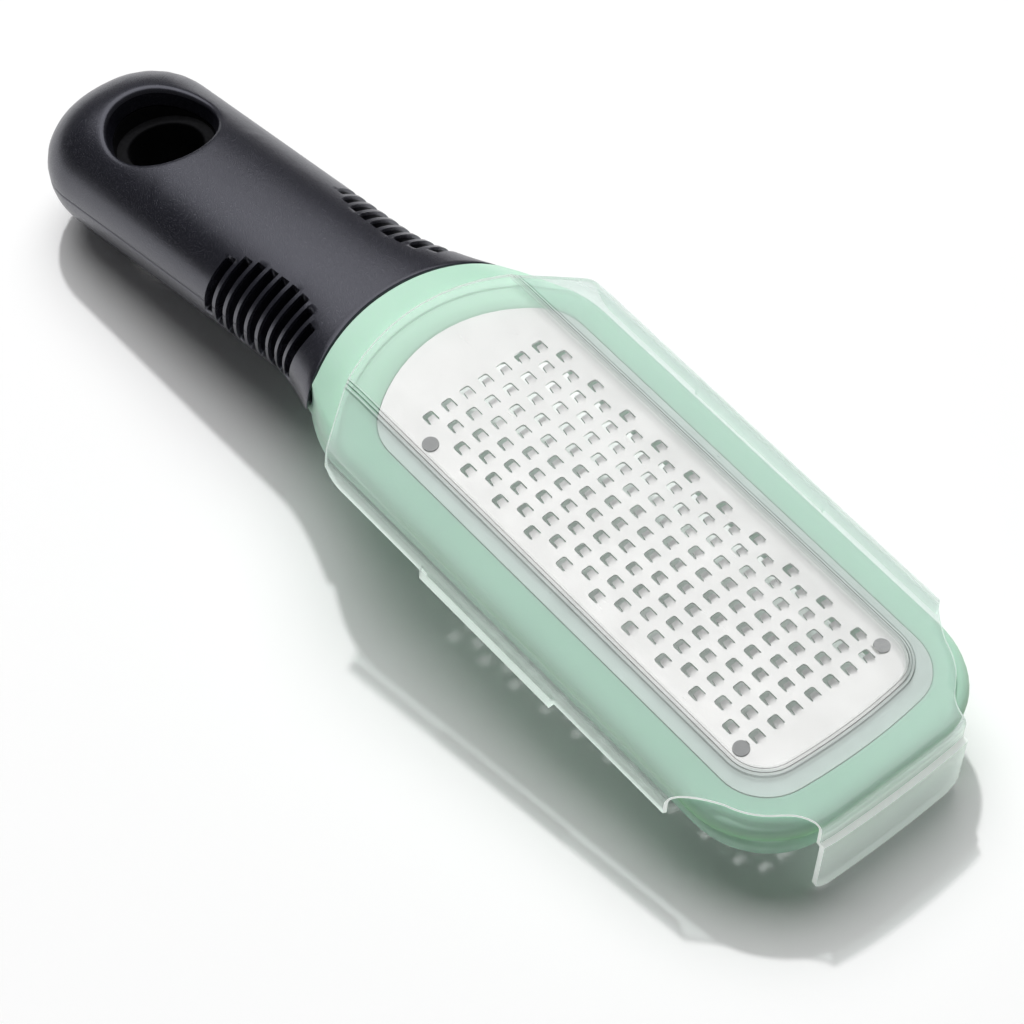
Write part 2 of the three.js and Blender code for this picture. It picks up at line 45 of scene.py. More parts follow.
# The grater is drawn in the head's own millimetres: x to the tip, z along the plate's normal, 0 on the top.
# The handle has millimetres of its own, which start at the neck and droop towards the butt.

headSet = {
    "mountInHead": (53.4, 0.0, -11.6),  # the record's mount, on the underside near the tip
    "crownRadius": 152.0,
    "handleStart": (-63.9, 0.0, -11.0),
    "handleDroop": math.radians(14.2),
}

mm = 0.001
joint = frame["record"]["behaviour"]["joints"][0]
mount = frame["record"]["mounts"][0]
tilt = math.atan2(joint["axis"][0], joint["axis"][2])
headPlace = (
    Matrix.Translation(mount["pos_m"])
    @ Matrix.Rotation(tilt, 4, "Y")
    @ Matrix.Scale(mm, 4)
    @ Matrix.Translation(-Vector(headSet["mountInHead"]))
)
handleInHead = Matrix.Translation(headSet["handleStart"]) @ Matrix.Rotation(-headSet["handleDroop"], 4, "Y")
handlePlace = headPlace @ handleInHead
headBack = headPlace.inverted()


# Small helpers


def lerp(a, b, t):
    return a + (b - a) * t


def clamp(value, low=0.0, high=1.0):
    return max(low, min(high, value))


def smooth(t):
    t = clamp(t)
    return t * t * (3 - 2 * t)


def crown(y):
    return -y * y / (2 * headSet["crownRadius"])


def arcPoints(cx, cy, radius, start, end, steps):
    angles = [lerp(start, end, i / steps) for i in range(steps + 1)]
    return [(cx + radius * math.cos(a), cy + radius * math.sin(a)) for a in angles]


# Half of a bowed end, from the middle of the end round its corner to the straight side
def halfEnd(halfWidth, end, inset, bowSteps, cornerSteps):
    half, bow, corner = halfWidth - inset, end["bow"] - inset, max(end["corner"] - inset, 0.3)
    way = math.copysign(1, end["x"])
    x = end["x"] - way * inset
    cornerY = half - corner
    cornerX = abs(x) - bow + math.sqrt((bow - corner) ** 2 - cornerY ** 2)
    meet = math.asin(cornerY / (bow - corner))
    bowArc = arcPoints(abs(x) - bow, 0, bow, 0, meet, bowSteps)
    cornerArc = arcPoints(cornerX, cornerY, corner, meet, math.pi / 2, cornerSteps)
    return [(way * px, py) for px, py in bowArc + cornerArc[1:]]


# Closed ring of the half from tip to heel and its mirror image
def mirrored(half):
    return half + [(x, -y, *rest) for x, y, *rest in reversed(half[1:-1])]


# A ring of vertices, started from a circle and moved to its points
def startRing(bm, points):
    ring = bmesh.ops.create_circle(bm, cap_ends=False, segments=len(points), radius=1.0)["verts"]
    for vert, point in zip(ring, points):
        vert.co = point
    return ring


def ringEdges(bm, ring, closed=True):
    pairs = zip(ring, ring[1:] + ring[:1]) if closed else zip(ring, ring[1:])
    return [bm.edges.get(pair) for pair in pairs]


# Extrudes a ring's edges and moves the new ring to its points
def growRing(bm, ring, points, closed=True):
    made = bmesh.ops.extrude_edge_only(bm, edges=ringEdges(bm, ring, closed))["geom"]
    fresh = {item for item in made if isinstance(item, bmesh.types.BMVert)}
    grown = []
    for vert in ring:
        grown.append(next(e.other_vert(vert) for e in vert.link_edges if e.other_vert(vert) in fresh))
    for vert, point in zip(grown, points):
        vert.co = point
    return grown


def skinRings(bm, rings):
    ring = startRing(bm, rings[0])
    first = ring
    for points in rings[1:]:
        ring = growRing(bm, ring, points)
    return first, ring


def applyModifiers(piece):
    shown = bpy.context.evaluated_depsgraph_get()
    mesh = bpy.data.meshes.new_from_object(piece.evaluated_get(shown))
    piece.modifiers.clear()
    old = piece.data
    piece.data = mesh
    bpy.data.meshes.remove(old)


def linked(name, data):
    item = bpy.data.objects.new(name, data)
    bpy.context.collection.objects.link(item)
    return item


def newObject(name, bm, materials):
    mesh = bpy.data.meshes.new(name)
    bm.to_mesh(mesh)
    bm.free()
    for material in materials:
        mesh.materials.append(material)
    return linked(name, mesh)


# Turns the faces of an open sheet up, before it gets its wall
def faceUp(bm):
    bmesh.ops.recalc_face_normals(bm, faces=bm.faces)
    if sum(face.normal.z * face.calc_area() for face in bm.faces) < 0:
        bmesh.ops.reverse_faces(bm, faces=bm.faces)


def addWall(piece, thickness):
    wall = piece.modifiers.new("wall", "SOLIDIFY")
    wall.thickness = thickness * mm
    wall.offset = -1
    return wall


def settle(bm, place):
    bmesh.ops.remove_doubles(bm, verts=bm.verts, dist=1e-4)
    bmesh.ops.recalc_face_normals(bm, faces=bm.faces)
    bmesh.ops.transform(bm, matrix=place, verts=bm.verts)


def dress(piece, body, node, sharp):
    piece.data.shade_smooth()
    piece.data.set_sharp_from_angle(angle=math.radians(sharp))
    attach(piece, body)
    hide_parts(node)
    print(piece.name, "has", len(piece.data.polygons), "faces")


# Node helpers


def newMaterial(name):
    material = bpy.data.materials.new(name)
    material.use_nodes = True
    tree = material.node_tree
    shader = tree.nodes["Principled BSDF"]
    return material, tree, shader


def objectNoise(tree, scale, detail=2.0, stretch=(1, 1, 1)):
    coords = tree.nodes.new("ShaderNodeTexCoord")
    mapping = tree.nodes.new("ShaderNodeMapping")
    mapping.inputs["Scale"].default_value = stretch
    noise = tree.nodes.new("ShaderNodeTexNoise")
    noise.inputs["Scale"].default_value = scale
    noise.inputs["Detail"].default_value = detail
    tree.links.new(coords.outputs["Object"], mapping.inputs["Vector"])
    tree.links.new(mapping.outputs["Vector"], noise.inputs["Vector"])
    return noise.outputs["Fac"]


def ramp(tree, source, stops):
    node = tree.nodes.new("ShaderNodeValToRGB")
    while len(node.color_ramp.elements) < len(stops):
        node.color_ramp.elements.new(0.5)
    for element, (position, colour) in zip(node.color_ramp.elements, stops):
        element.position = position
        element.color = (*colour, 1.0)
    tree.links.new(source, node.inputs["Fac"])
    return node.outputs["Color"]


# Slow change between two colours
def between(tree, source, colours):
    first, second = colours
    return ramp(tree, source, [(0.3, first), (0.7, second)])


def spread(tree, source, low, high):
    node = tree.nodes.new("ShaderNodeMapRange")
    node.inputs["To Min"].default_value = low
    node.inputs["To Max"].default_value = high
    tree.links.new(source, node.inputs["Value"])
    return node.outputs["Result"]


def attribute(tree, name):
    node = tree.nodes.new("ShaderNodeAttribute")
    node.attribute_name = name
    return node.outputs["Fac"]


# Sum of two sockets, kept between nothing and one
def added(tree, first, second):
    node = tree.nodes.new("ShaderNodeMath")
    node.operation = "ADD"
    node.use_clamp = True
    tree.links.new(first, node.inputs[0])
    tree.links.new(second, node.inputs[1])
    return node.outputs["Value"]


# Two colours mixed by a share, or multiplied where none is given
def blended(tree, first, second, share=None):
    node = tree.nodes.new("ShaderNodeMix")
    node.data_type = "RGBA"
    if share is None:
        node.blend_type = "MULTIPLY"
        node.inputs["Factor"].default_value = 1.0
    else:
        tree.links.new(share, node.inputs["Factor"])
    tree.links.new(first, node.inputs["A"])
    tree.links.new(second, node.inputs["B"])
    return node.outputs["Result"]


def mixShaders(tree, share, first, second):
    node = tree.nodes.new("ShaderNodeMixShader")
    tree.links.new(share, node.inputs["Fac"])
    tree.links.new(first, node.inputs[1])
    tree.links.new(second, node.inputs[2])
    return node.outputs["Shader"]


def paint(tree, shader, colour, roughness):
    tree.links.new(colour, shader.inputs["Base Color"])
    tree.links.new(roughness, shader.inputs["Roughness"])


def bump(tree, shader, source, strength, distance):
    node = tree.nodes.new("ShaderNodeBump")
    node.inputs["Strength"].default_value = strength
    node.inputs["Distance"].default_value = distance
    tree.links.new(source, node.inputs["Height"])
    tree.links.new(node.outputs["Normal"], shader.inputs["Normal"])


# Grating plate: one tooth tile repeated over the sheet, trimmed to its outline and bent to the crown

plateSet = {
    "form": {
        "halfWidth": 21.3,
        "tip": {"x": 52.4, "bow": 90.0, "corner": 9.5},
        "heel": {"x": -52.4, "bow": 29.5, "corner": 9.0},
    },
    "steel": ((0.78, 0.775, 0.765), (0.87, 0.865, 0.855)),
    "pin": ((0.24, 0.24, 0.245), (0.29, 0.29, 0.295)),
    "sharp": 38,  # degrees from which an edge is shaded sharp
    "thickness": 0.45,
    "pitch": 4.0,
    "rows": 21,
    "spareRows": 4,  # bare tiles past the field, trimmed to the outline later
    "columns": 6,    # either side of the middle
    "firstRow": -39.9,
    "halfSpan": 14.0,
    "holeRadius": 1.45,
    "holeSide": 15.4,
    "holeSteps": 24,
    "pinDrop": 0.2,
    "pinFit": 0.03,
    "openingHeel": -1.2,
    "openingTip": 1.05,
    "openingHalf": 1.08,
    "openingRound": 0.5,
    "slotWidth": 0.34,
    "tongueEnd": -0.14,
    "tongueHalf": 0.68,
    "tongueTaper": 0.03,
    "tongueRound": 0.2,
    "tongueRoot": 0.25,  # past the opening, where the tongue starts to bend up
    "tongueRise": 0.34,
    "tongueCurl": 1.4,
}


def steelFinish():
    material, tree, shader = newMaterial("etchedSteel")
    shader.inputs["Metallic"].default_value = 1.0
    cloud = objectNoise(tree, 120.0, 4.0)
    grain = objectNoise(tree, 900.0, 3.0, (0.12, 1, 1))  # drawn out along the tool
    paint(tree, shader, between(tree, cloud, plateSet["steel"]), spread(tree, grain, 0.24, 0.36))
    bump(tree, shader, grain, 0.12, 0.00004)
    return material


def pinFinish():
    material, tree, shader = newMaterial("dullPin")
    grain = objectNoise(tree, 1500.0)
    paint(tree, shader, between(tree, grain, plateSet["pin"]), spread(tree, grain, 0.55, 0.7))
    return material


def toothLoop():
    s = plateSet
    tip, heel, half = s["openingTip"], s["openingHeel"], s["openingHalf"]
    corner, nose, slotRound = s["openingRound"], s["tongueRound"], s["slotWidth"] / 2
    upper = arcPoints(s["tongueEnd"] + nose, s["tongueHalf"] - nose, nose, math.pi, math.pi / 2, 2)
    upper.append(((s["tongueEnd"] + tip) / 2, s["tongueHalf"] + s["tongueTaper"]))
    upper += arcPoints(tip - slotRound, half - slotRound, slotRound, -math.pi / 2, math.pi / 2, 4)
    upper += arcPoints(heel + corner, half - corner, corner, math.pi / 2, math.pi, 3)
    return upper + [(x, -y) for x, y in reversed(upper)]


def tongueHeight(x):
    s = plateSet
    root = s["openingTip"] + s["tongueRoot"]
    return s["tongueRise"] * clamp((root - x) / (root - s["tongueEnd"])) ** s["tongueCurl"]


def addLoop(bm, points):
    verts = [bm.verts.new((x, y, 0)) for x, y in points]
    return verts, [bm.edges.new(pair) for pair in zip(verts, verts[1:] + verts[:1])]


# Tile round a loop, filled between the two, and two pitches wide where the loop needs it
def addTile(bm, x, y, loop, lifted, double=False):
    half = plateSet["pitch"] / 2
    steps = [half * i for i in range(-3 if double else -1, 2)]
    border = [(half, step) for step in steps] + [(-half, step) for step in reversed(steps)]
    _, outer = addLoop(bm, [(x + px, y + py) for px, py in border])
    if not loop:
        bmesh.ops.triangle_fill(bm, use_beauty=True, edges=outer)
        return
    verts, inner = addLoop(bm, [(x + px, y + py) for px, py in loop])
    bmesh.ops.triangle_fill(bm, use_beauty=True, edges=outer + inner)
    if lifted:
        for vert in verts:
            px, py = vert.co.x - x, vert.co.y - y
            onTongue = abs(py) < plateSet["tongueHalf"] + 0.06 and px > plateSet["openingHeel"] + 0.5
            if onTongue:
                vert.co.z = tongueHeight(px)


def plateOutline():
    form = plateSet["form"]
    tip, heel = (halfEnd(form["halfWidth"], form[end], 0.0, 8, 12) for end in ("tip", "heel"))
    return mirrored(tip + list(reversed(heel)))


def makePlate(materials):
    s = plateSet
    bm = bmesh.new()
    loop = toothLoop()
    circle = arcPoints(0, 0, s["holeRadius"], 0, 2 * math.pi, s["holeSteps"])[:-1]
    pitch = s["pitch"]
    lastRow = s["rows"] - 1
    pins = []
    for row in range(-s["spareRows"], s["rows"] + s["spareRows"]):
        x = s["firstRow"] + row * pitch
        stagger = pitch / 2 if row % 2 else 0.0
        for column in range(-s["columns"], s["columns"] + 1):
            y = stagger + column * pitch
            inField = 0 <= row <= lastRow and abs(y) <= s["halfSpan"] + 0.1
            locating = abs(abs(y) - s["holeSide"]) < 1.5 and ((row == 1 and y < 0) or row == lastRow)
            if locating:
                side = math.copysign(s["holeSide"], y) - y
                addTile(bm, x, y, [(px, py + side) for px, py in circle], False, row == 1)
                pins.append((x, y + side))
            elif row != 1 or abs(y + s["holeSide"] + pitch) > pitch / 2:  # the double tile reaches this far
                addTile(bm, x, y, loop if inField else None, inField)
    bmesh.ops.remove_doubles(bm, verts=bm.verts, dist=1e-4)
    outline = plateOutline()
    for (ax, ay), (bx, by) in zip(outline, outline[1:] + outline[:1]):
        bmesh.ops.bisect_plane(
            bm, geom=bm.verts[:] + bm.edges[:] + bm.faces[:], dist=1e-5,
            plane_co=(ax, ay, 0), plane_no=(by - ay, ax - bx, 0), clear_outer=True,
        )
    # heads of the locating pins, a little below the face of the plate
    for x, y in pins:
        spot = Matrix.Translation((x, y, -s["pinDrop"]))
        made = bmesh.ops.create_circle(
            bm, cap_ends=True, segments=s["holeSteps"], radius=s["holeRadius"] - s["pinFit"], matrix=spot,
        )
        for face in made["verts"][0].link_faces:
            face.material_index = 1
    for vert in bm.verts:
        vert.co.z += crown(vert.co.y)
    faceUp(bm)
    bmesh.ops.transform(bm, matrix=headPlace, verts=bm.verts)
    piece = newObject("gratingPlate", bm, materials)
    addWall(piece, s["thickness"])
    applyModifiers(piece)
    dress(piece, "grater", "grating_plate", s["sharp"])


# Handle sections shared by the grip, the core and the neck

gripSet = {
    "length": 88.3,
    "halfWidth": 17.4,
    "upperRear": 12.9,
    "upperFront": 10.2,
    "lowerRear": 13.6,
    "lowerFront": 12.6,
    "flare": 3.8,
    "flareLength": 15.0,
    "buttRound": 15.3,
    "buttPower": 2.2,
    "power": 2.2,
    "wall": 3.6,
    "jointBow": 44.9,
    "jointSetback": 1.3,
    "underLean": 0.5,    # the joint runs back again under the widest girth
    "fit": 0.3,
    "quarterSteps": 46,
    "edgeRound": 0.45,
    "seamDepth": 0.16,
    "seamTurns": (0.011, 0.026),  # radians either side of the seam
    "leanStart": -48.0,           # rings lean with the joint from here on
    "leanReach": 14.0,
    "finField": -35.0,            # the fins are all in front of this
    "finFull": 0.86,              # how full the section is where a slot or the funnel counts as a hollow
    "funnelFull": 0.8,
    "rubber": ((0.3, (0.005, 0.005, 0.0085)), (0.56, (0.007, 0.007, 0.0115)), (0.72, (0.05, 0.05, 0.062))),
    # the hollows' copy shines little: painted shade in the fin slots and the funnel
    "shine": {"charcoalRubber": 1.0, "shadedHollowRubber": 0.2},
    "sharp": 50,
}

buttStart = gripSet["buttRound"] - gripSet["length"]


def handleSizes(x, inset):
    s = gripSet
    butt, roundLength = -s["length"] + inset, s["buttRound"] - inset
    into = clamp((butt + roundLength - x) / roundLength, 0, 0.9999)
    close = (1 - into ** s["buttPower"]) ** (1 / s["buttPower"])
    share = clamp(-x / s["length"])
    flare = 0
    if inset < 1:  # the core stays straight
        flare = s["flare"] * clamp(1 + (x - s["jointSetback"]) / s["flareLength"], 0, 2) ** 1.5
    upper = lerp(s["upperFront"], s["upperRear"], share) - inset
    lower = lerp(s["lowerFront"], s["lowerRear"], share) - inset
    return (s["halfWidth"] + flare - inset) * close, upper * close, lower * close


def sectionPoint(x, angle, inset):
    wide, upper, lower = handleSizes(x, inset)
    c, s = math.cos(angle), math.sin(angle)
    power = 2 / gripSet["power"]
    y = wide * math.copysign(abs(c) ** power, c)
    z = (upper if s > 0 else lower) * math.copysign(abs(s) ** power, s)
    return y, z


# Height of the handle's skin over a point in plan
def skinHeight(x, y, inset, side):
    wide, upper, lower = handleSizes(x, inset)
    share = clamp(abs(y) / max(wide, 1e-6), 0, 1)
    power = gripSet["power"]
    return side * (upper if side > 0 else lower) * (1 - share ** power) ** (1 / power)


# Where the grip ends against the neck: a cylinder that is upright in the head
def jointX(y, z):
    s, droop = gripSet, headSet["handleDroop"]
    plan = s["jointBow"] - s["jointSetback"] - math.sqrt(s["jointBow"] ** 2 - y * y)
    return plan / math.cos(droop) + z * math.tan(droop) + s["underLean"] * min(z, 0)


finSet = {
    "count": 9,
    "pitch": 3.05,
    "slot": 1.9,
    "centre": -17.7,
    "length": 29.5,
    "climb": 4.2,   # along the skin above the seam
    "height": 18.0,
    "squareness": 2.8,
    "depth": 2.4,
    "endDepth": 0.6,   # share of the depth at both ends of the field
    "ramp": 0.7,       # length over which a slot runs out
    "softEdge": 0.16,
}


# How far the fin slots dip into the skin, at a station and a length along the skin from the seam
def finDip(x, arc):
    s = finSet
    most = (s["count"] - 1) / 2
    slot = clamp(round((x - s["centre"]) / s["pitch"]), -most, most)
    away = abs(x - s["centre"] - slot * s["pitch"])
    cut = 1 - smooth((away - s["slot"] / 2 + s["softEdge"]) / (2 * s["softEdge"]))
    power = s["squareness"]
    share = max(0, 1 - abs(2 * slot * s["pitch"] / s["length"]) ** power) ** (1 / power)
    inside = share * s["height"] / 2 - abs(arc - s["climb"])
    return cut * s["depth"] * lerp(s["endDepth"], 1, share) * smooth(inside / s["ramp"])


# Turns round a section, closer together on both sides of the seam
def handleAngles():
    s = gripSet
    steps = s["quarterSteps"]
    quarter = [0.0, *s["seamTurns"]] + [math.pi / 2 * i / steps for i in range(1, steps + 1)]
    half = quarter + [math.pi - a for a in reversed(quarter[:-1])]
    return half + [2 * math.pi - a for a in reversed(half[1:-1])]


def handleRing(x, inset):
    return [Vector((x, *sectionPoint(x, a, inset))) for a in handleAngles()]


# Ring whose points lean forward with their height, as the joint and the fins do
def leanRing(x, inset):
    s = gripSet
    lean = math.tan(headSet["handleDroop"]) * smooth((x - s["leanStart"]) / s["leanReach"])
    points = []
    for a in handleAngles():
        px = x
        for _ in range(4):
            y, z = sectionPoint(px, a, inset)
            px = x + lean * z
        points.append(Vector((px, y, z)))
    return points


# Ring of the grip's outside, with its fin slots and a fine seam
def finnedRing(x):
    ring = leanRing(x, 0.0)
    count = len(ring)
    quarter = count // 4
    climbs, drops = [0.0], [0.0]
    for i in range(1, quarter + 1):
        climbs.append(climbs[-1] + (ring[i] - ring[i - 1]).length)
        drops.append(drops[-1] - (ring[-i] - ring[1 - i]).length)
    points = []
    for i, p in enumerate(ring):
        along = ring[(i + 1) % count] - ring[i - 1]
        inward = Vector((0, -along.z, along.y)).normalized()
        fold = min(i, count - i)
        fold = min(fold, count // 2 - fold)
        arc = climbs[fold] if i <= count // 2 else drops[fold]
        dip = finDip(x, arc) + (gripSet["seamDepth"] if fold == 0 else 0)
        points.append(p + inward * dip)
    return points


# Ring that bends towards the joint with the neck, staying a little behind it
def bentRing(x, bend, inset, back=0.0):
    lean = math.tan(headSet["handleDroop"])
    points = []
    for a in handleAngles():
        px = x
        for _ in range(8):
            y, z = sectionPoint(px, a, inset)
            px = lerp(x + lean * z, jointX(y, z) - gripSet["fit"] - back, bend)
        points.append(Vector((px, y, z)))
    return points


def buttStations(inset):
    turns = (85, 80, 74, 67, 59, 50, 41, 32, 23, 14, 6)
    return [buttStart - (gripSet["buttRound"] - inset) * math.sin(math.radians(turn)) for turn in turns]


def spacedStations(start, end, step):
    count = max(1, math.ceil((end - start) / step))
    return [lerp(start, end, i / count) for i in range(count + 1)]


def finStations():
    s = finSet
    half, edge = s["slot"] / 2, s["softEdge"]
    steps = [-half - edge, -half - edge / 3, -half + edge / 3, -half + edge, 0]
    steps += [-step for step in reversed(steps[:-1])]
    first = s["centre"] - s["pitch"] * (s["count"] - 1) / 2
    return [first + i * s["pitch"] + step for i in range(s["count"]) for step in steps]


def capRing(bm, ring):
    faces = bmesh.ops.contextual_create(bm, geom=ring)["faces"]
    bmesh.ops.poke(bm, faces=faces)


hangSet = {
    "setback": 24.6,
    "rimRadius": 10.9,
    "ledgeRadius": 9.0,
    "ledgeHeight": 6.4,
    "boreRadius": 6.9,
    "eyeRadius": 5.4,   # the bore narrows to this on the underside
    "patch": 13.6,      # half of the square opened in the skin before the rim is grown
    "corePatch": 11.2,
    "rimRound": 1.0,
}

holeX = hangSet["setback"] - gripSet["length"]


def funnelRadius(height):
    s = hangSet
    slope = (s["rimRadius"] - s["ledgeRadius"]) / (gripSet["upperRear"] - s["ledgeHeight"])
    return s["ledgeRadius"] + slope * (abs(height) - s["ledgeHeight"])


# Takes a patch out of a skin over the hanging hole and returns its border, in order
def openPatch(bm, faces, side, reach):
    patch = set()
    for face in faces:
        middle = face.calc_center_median() if face.is_valid else Vector()
        if abs(middle.x - holeX) < reach and abs(middle.y) < reach and middle.z * side > 0:
            patch.add(face)
    border = {e for f in patch for e in f.edges if sum(g in patch for g in e.link_faces) == 1}
    bmesh.ops.delete(bm, geom=list(patch), context="FACES")
    edge = next(iter(border))
    loop = [edge.verts[0], edge.verts[1]]
    while True:
        ways = [e.other_vert(loop[-1]) for e in loop[-1].link_edges if e in border]
        after = next(vert for vert in ways if vert is not loop[-2])
        if after is loop[0]:
            return loop
        loop.append(after)


# Point of a skin at a radius from the hole's middle
def onSkin(way, radius, inset, side):
    x, y = holeX + radius * way.x, radius * way.y
    return Vector((x, y, skinHeight(x, y, inset, side)))


def onFunnel(way, radius, height):
    return Vector((holeX + radius * way.x, radius * way.y, height))


# Radius at which the funnel meets a skin, for one direction round the hole
def rimRadius(way, inset, side):
    radius = hangSet["rimRadius"]
    for _ in range(12):
        radius = funnelRadius(onSkin(way, radius, inset, side).z)
    return radius


def holeWays(loop):
    return [Vector((v.co.x - holeX, v.co.y)).normalized() for v in loop]


# Grows a patch's border to the rounded rim of the funnel and down to the wall's inside
def growFunnel(bm, loop, side, inner):
    soft = hangSet["rimRound"]
    ways = holeWays(loop)
    radii = [rimRadius(w, 0.0, side) for w in ways]
    starts = [(v.co.xy - Vector((holeX, 0))).length for v in loop]
    for t in (0.4, 0.75, 1.0):
        reaches = [lerp(start, r + 1.6 * soft, t) for start, r in zip(starts, radii)]
        loop = growRing(bm, loop, [onSkin(w, reach, 0.0, side) for w, reach in zip(ways, reaches)])
    for t in (0.0, 0.2, 0.4, 0.6, 0.8, 1.0):
        points = []
        for w, r in zip(ways, radii):
            edge = onSkin(w, r, 0.0, side)
            low = edge.z - side * soft
            a, c = onSkin(w, r + soft, 0.0, side), onFunnel(w, funnelRadius(low), low)
            points.append(a.lerp(edge, t).lerp(edge.lerp(c, t), t))
        loop = growRing(bm, loop, points)
    points = []
    for w in ways:
        r = rimRadius(w, inner, side)
        points.append(onFunnel(w, r + 0.1, onSkin(w, r, inner, side).z + side * 0.3))
    return growRing(bm, loop, points)


# Gives the faces that lie under the skin the second material, the dull copy that paints shade into the
# hollows
def markShadedHollows(piece):
    s = gripSet
    back = handlePlace.inverted()
    for face in piece.data.polygons:
        p = back @ face.center
        wide, upper, lower = handleSizes(p.x, 0.0)
        high = upper if p.z > 0 else lower
        full = abs(p.y / wide) ** s["power"] + abs(p.z / high) ** s["power"]
        fin = s["finField"] < p.x < 0 and full < s["finFull"]
        funnel = abs(p.x - holeX) < hangSet["rimRadius"] and full < s["funnelFull"]
        if fin or funnel:
            face.material_index = 1


# The same rubber twice: full shine on the outside, and a copy with little shine in the hollows as painted
# shade, where little light reaches
def gripFinish(name, shine):
    material, tree, shader = newMaterial(name)
    speck = objectNoise(tree, 5200.0)
    paint(tree, shader, ramp(tree, speck, gripSet["rubber"]), spread(tree, speck, 0.33, 0.24))
    shader.inputs["Specular IOR Level"].default_value = shine
    shader.inputs["Specular Tint"].default_value = (0.86, 0.87, 1.0, 1.0)
    shader.inputs["IOR"].default_value = 1.6
    bump(tree, shader, speck, 0.45, 0.00006)
    return material


def makeGrip(materials):
    s = gripSet
    inner = s["wall"] - s["fit"]
    fins = finStations()
    bm = bmesh.new()
    outside = buttStations(0.0) + spacedStations(buttStart, fins[0] - 1.2, 1.6)
    rings = [finnedRing(x) for x in outside + fins]
    rings += [bentRing(fins[-1], bend, 0.0, s["edgeRound"]) for bend in (0.2, 0.4, 0.6, 0.8, 1.0)]
    butt, ring = skinRings(bm, rings)
    capRing(bm, butt)
    skin = bm.faces[:]
    rims = [growFunnel(bm, openPatch(bm, skin, side, hangSet["patch"]), side, inner) for side in (1, -1)]
    done = set(bm.faces)
    # rounded front lip, then the wall's inside back to the butt
    for angle in (30, 60, 90):
        turn = math.radians(angle)
        inset, back = s["edgeRound"] * (1 - math.cos(turn)), s["edgeRound"] * (1 - math.sin(turn))
        ring = growRing(bm, ring, bentRing(fins[-1], 1.0, inset, back))
    ring = growRing(bm, ring, bentRing(fins[-1], 1.0, inner))
    inside = buttStations(inner) + spacedStations(buttStart, fins[-1] - 3, 3.0)
    for x in reversed(inside):
        ring = growRing(bm, ring, handleRing(x, inner))
    capRing(bm, ring)
    wallFaces = [f for f in bm.faces if f not in done]
    for side, rim in zip((1, -1), rims):
        loop = openPatch(bm, wallFaces, side, hangSet["corePatch"])
        ways = holeWays(loop)
        loop = growRing(bm, loop, [onSkin(w, rimRadius(w, inner, side), inner, side) for w in ways])
        bmesh.ops.bridge_loops(bm, edges=ringEdges(bm, rim) + ringEdges(bm, loop))
    settle(bm, handlePlace)
    piece = newObject("softGrip", bm, materials)
    markShadedHollows(piece)
    dress(piece, "grater", "soft_grip", s["sharp"])


coreSet = {
    "front": -4.6,   # just behind the joint, in handle millimetres
    "slotHalf": (9.3, 4.3),
    "slotEnd": -34.3,
    "boreRound": 0.5,
    # the core's black, darker than plain black plastic: partly its own colour, partly painted shade in the
    # hanging hole
    "black": ((0.003, 0.003, 0.0035), (0.006, 0.006, 0.007)),
    "sharp": 40,
}


def coreFinish():
    material, tree, shader = newMaterial("blackPlastic")
    grain = objectNoise(tree, 1400.0)
    paint(tree, shader, between(tree, grain, coreSet["black"]), spread(tree, grain, 0.5, 0.62))
    # little shine, so the hanging hole stays dark: partly painted shade
    shader.inputs["Specular IOR Level"].default_value = 0.1
    bump(tree, shader, grain, 0.08, 0.00005)
    return material


# Ring of a squared slot, matched to the handle's rings
def slotRing(x):
    wide, high = coreSet["slotHalf"]
    points = []
    for a in handleAngles():
        c, s = math.cos(a), math.sin(a)
        y, z = (math.copysign(abs(v) ** 0.2, v) for v in (c, s))
        points.append((x, wide * y, high * z))
    return points


def makeCore(material):
    s, wall = coreSet, gripSet["wall"]
    bm = bmesh.new()
    ring = startRing(bm, slotRing(s["slotEnd"]))
    capRing(bm, ring)
    ring = growRing(bm, ring, slotRing(s["front"]))
    for x in reversed(buttStations(wall) + spacedStations(buttStart, s["front"], 2.0)):
        ring = growRing(bm, ring, handleRing(x, wall))
    capRing(bm, ring)
    skin = bm.faces[:]
    bores = []
    soft = s["boreRound"]
    for side, bore in ((1, hangSet["boreRadius"]), (-1, hangSet["eyeRadius"])):
        loop = openPatch(bm, skin, side, hangSet["corePatch"])
        ways = holeWays(loop)
        ledge = side * hangSet["ledgeHeight"]
        loop = growRing(bm, loop, [onSkin(w, rimRadius(w, wall, side), wall, side) for w in ways])
        loop = growRing(bm, loop, [onFunnel(w, hangSet["ledgeRadius"], ledge) for w in ways])
        for angle in (0, 30, 60, 90):
            turn = math.radians(angle)
            radius, drop = bore + soft * (1 - math.sin(turn)), soft * (1 - math.cos(turn))
            loop = growRing(bm, loop, [onFunnel(w, radius, ledge - side * drop) for w in ways])
        bores.append(loop)
    bmesh.ops.bridge_loops(bm, edges=ringEdges(bm, bores[0]) + ringEdges(bm, bores[1]))
    settle(bm, handlePlace)
    piece = newObject("handleCore", bm, [material])
    dress(piece, "grater", "handle_core", s["sharp"])


# Head frame with its neck: one skin whose rings run round the head

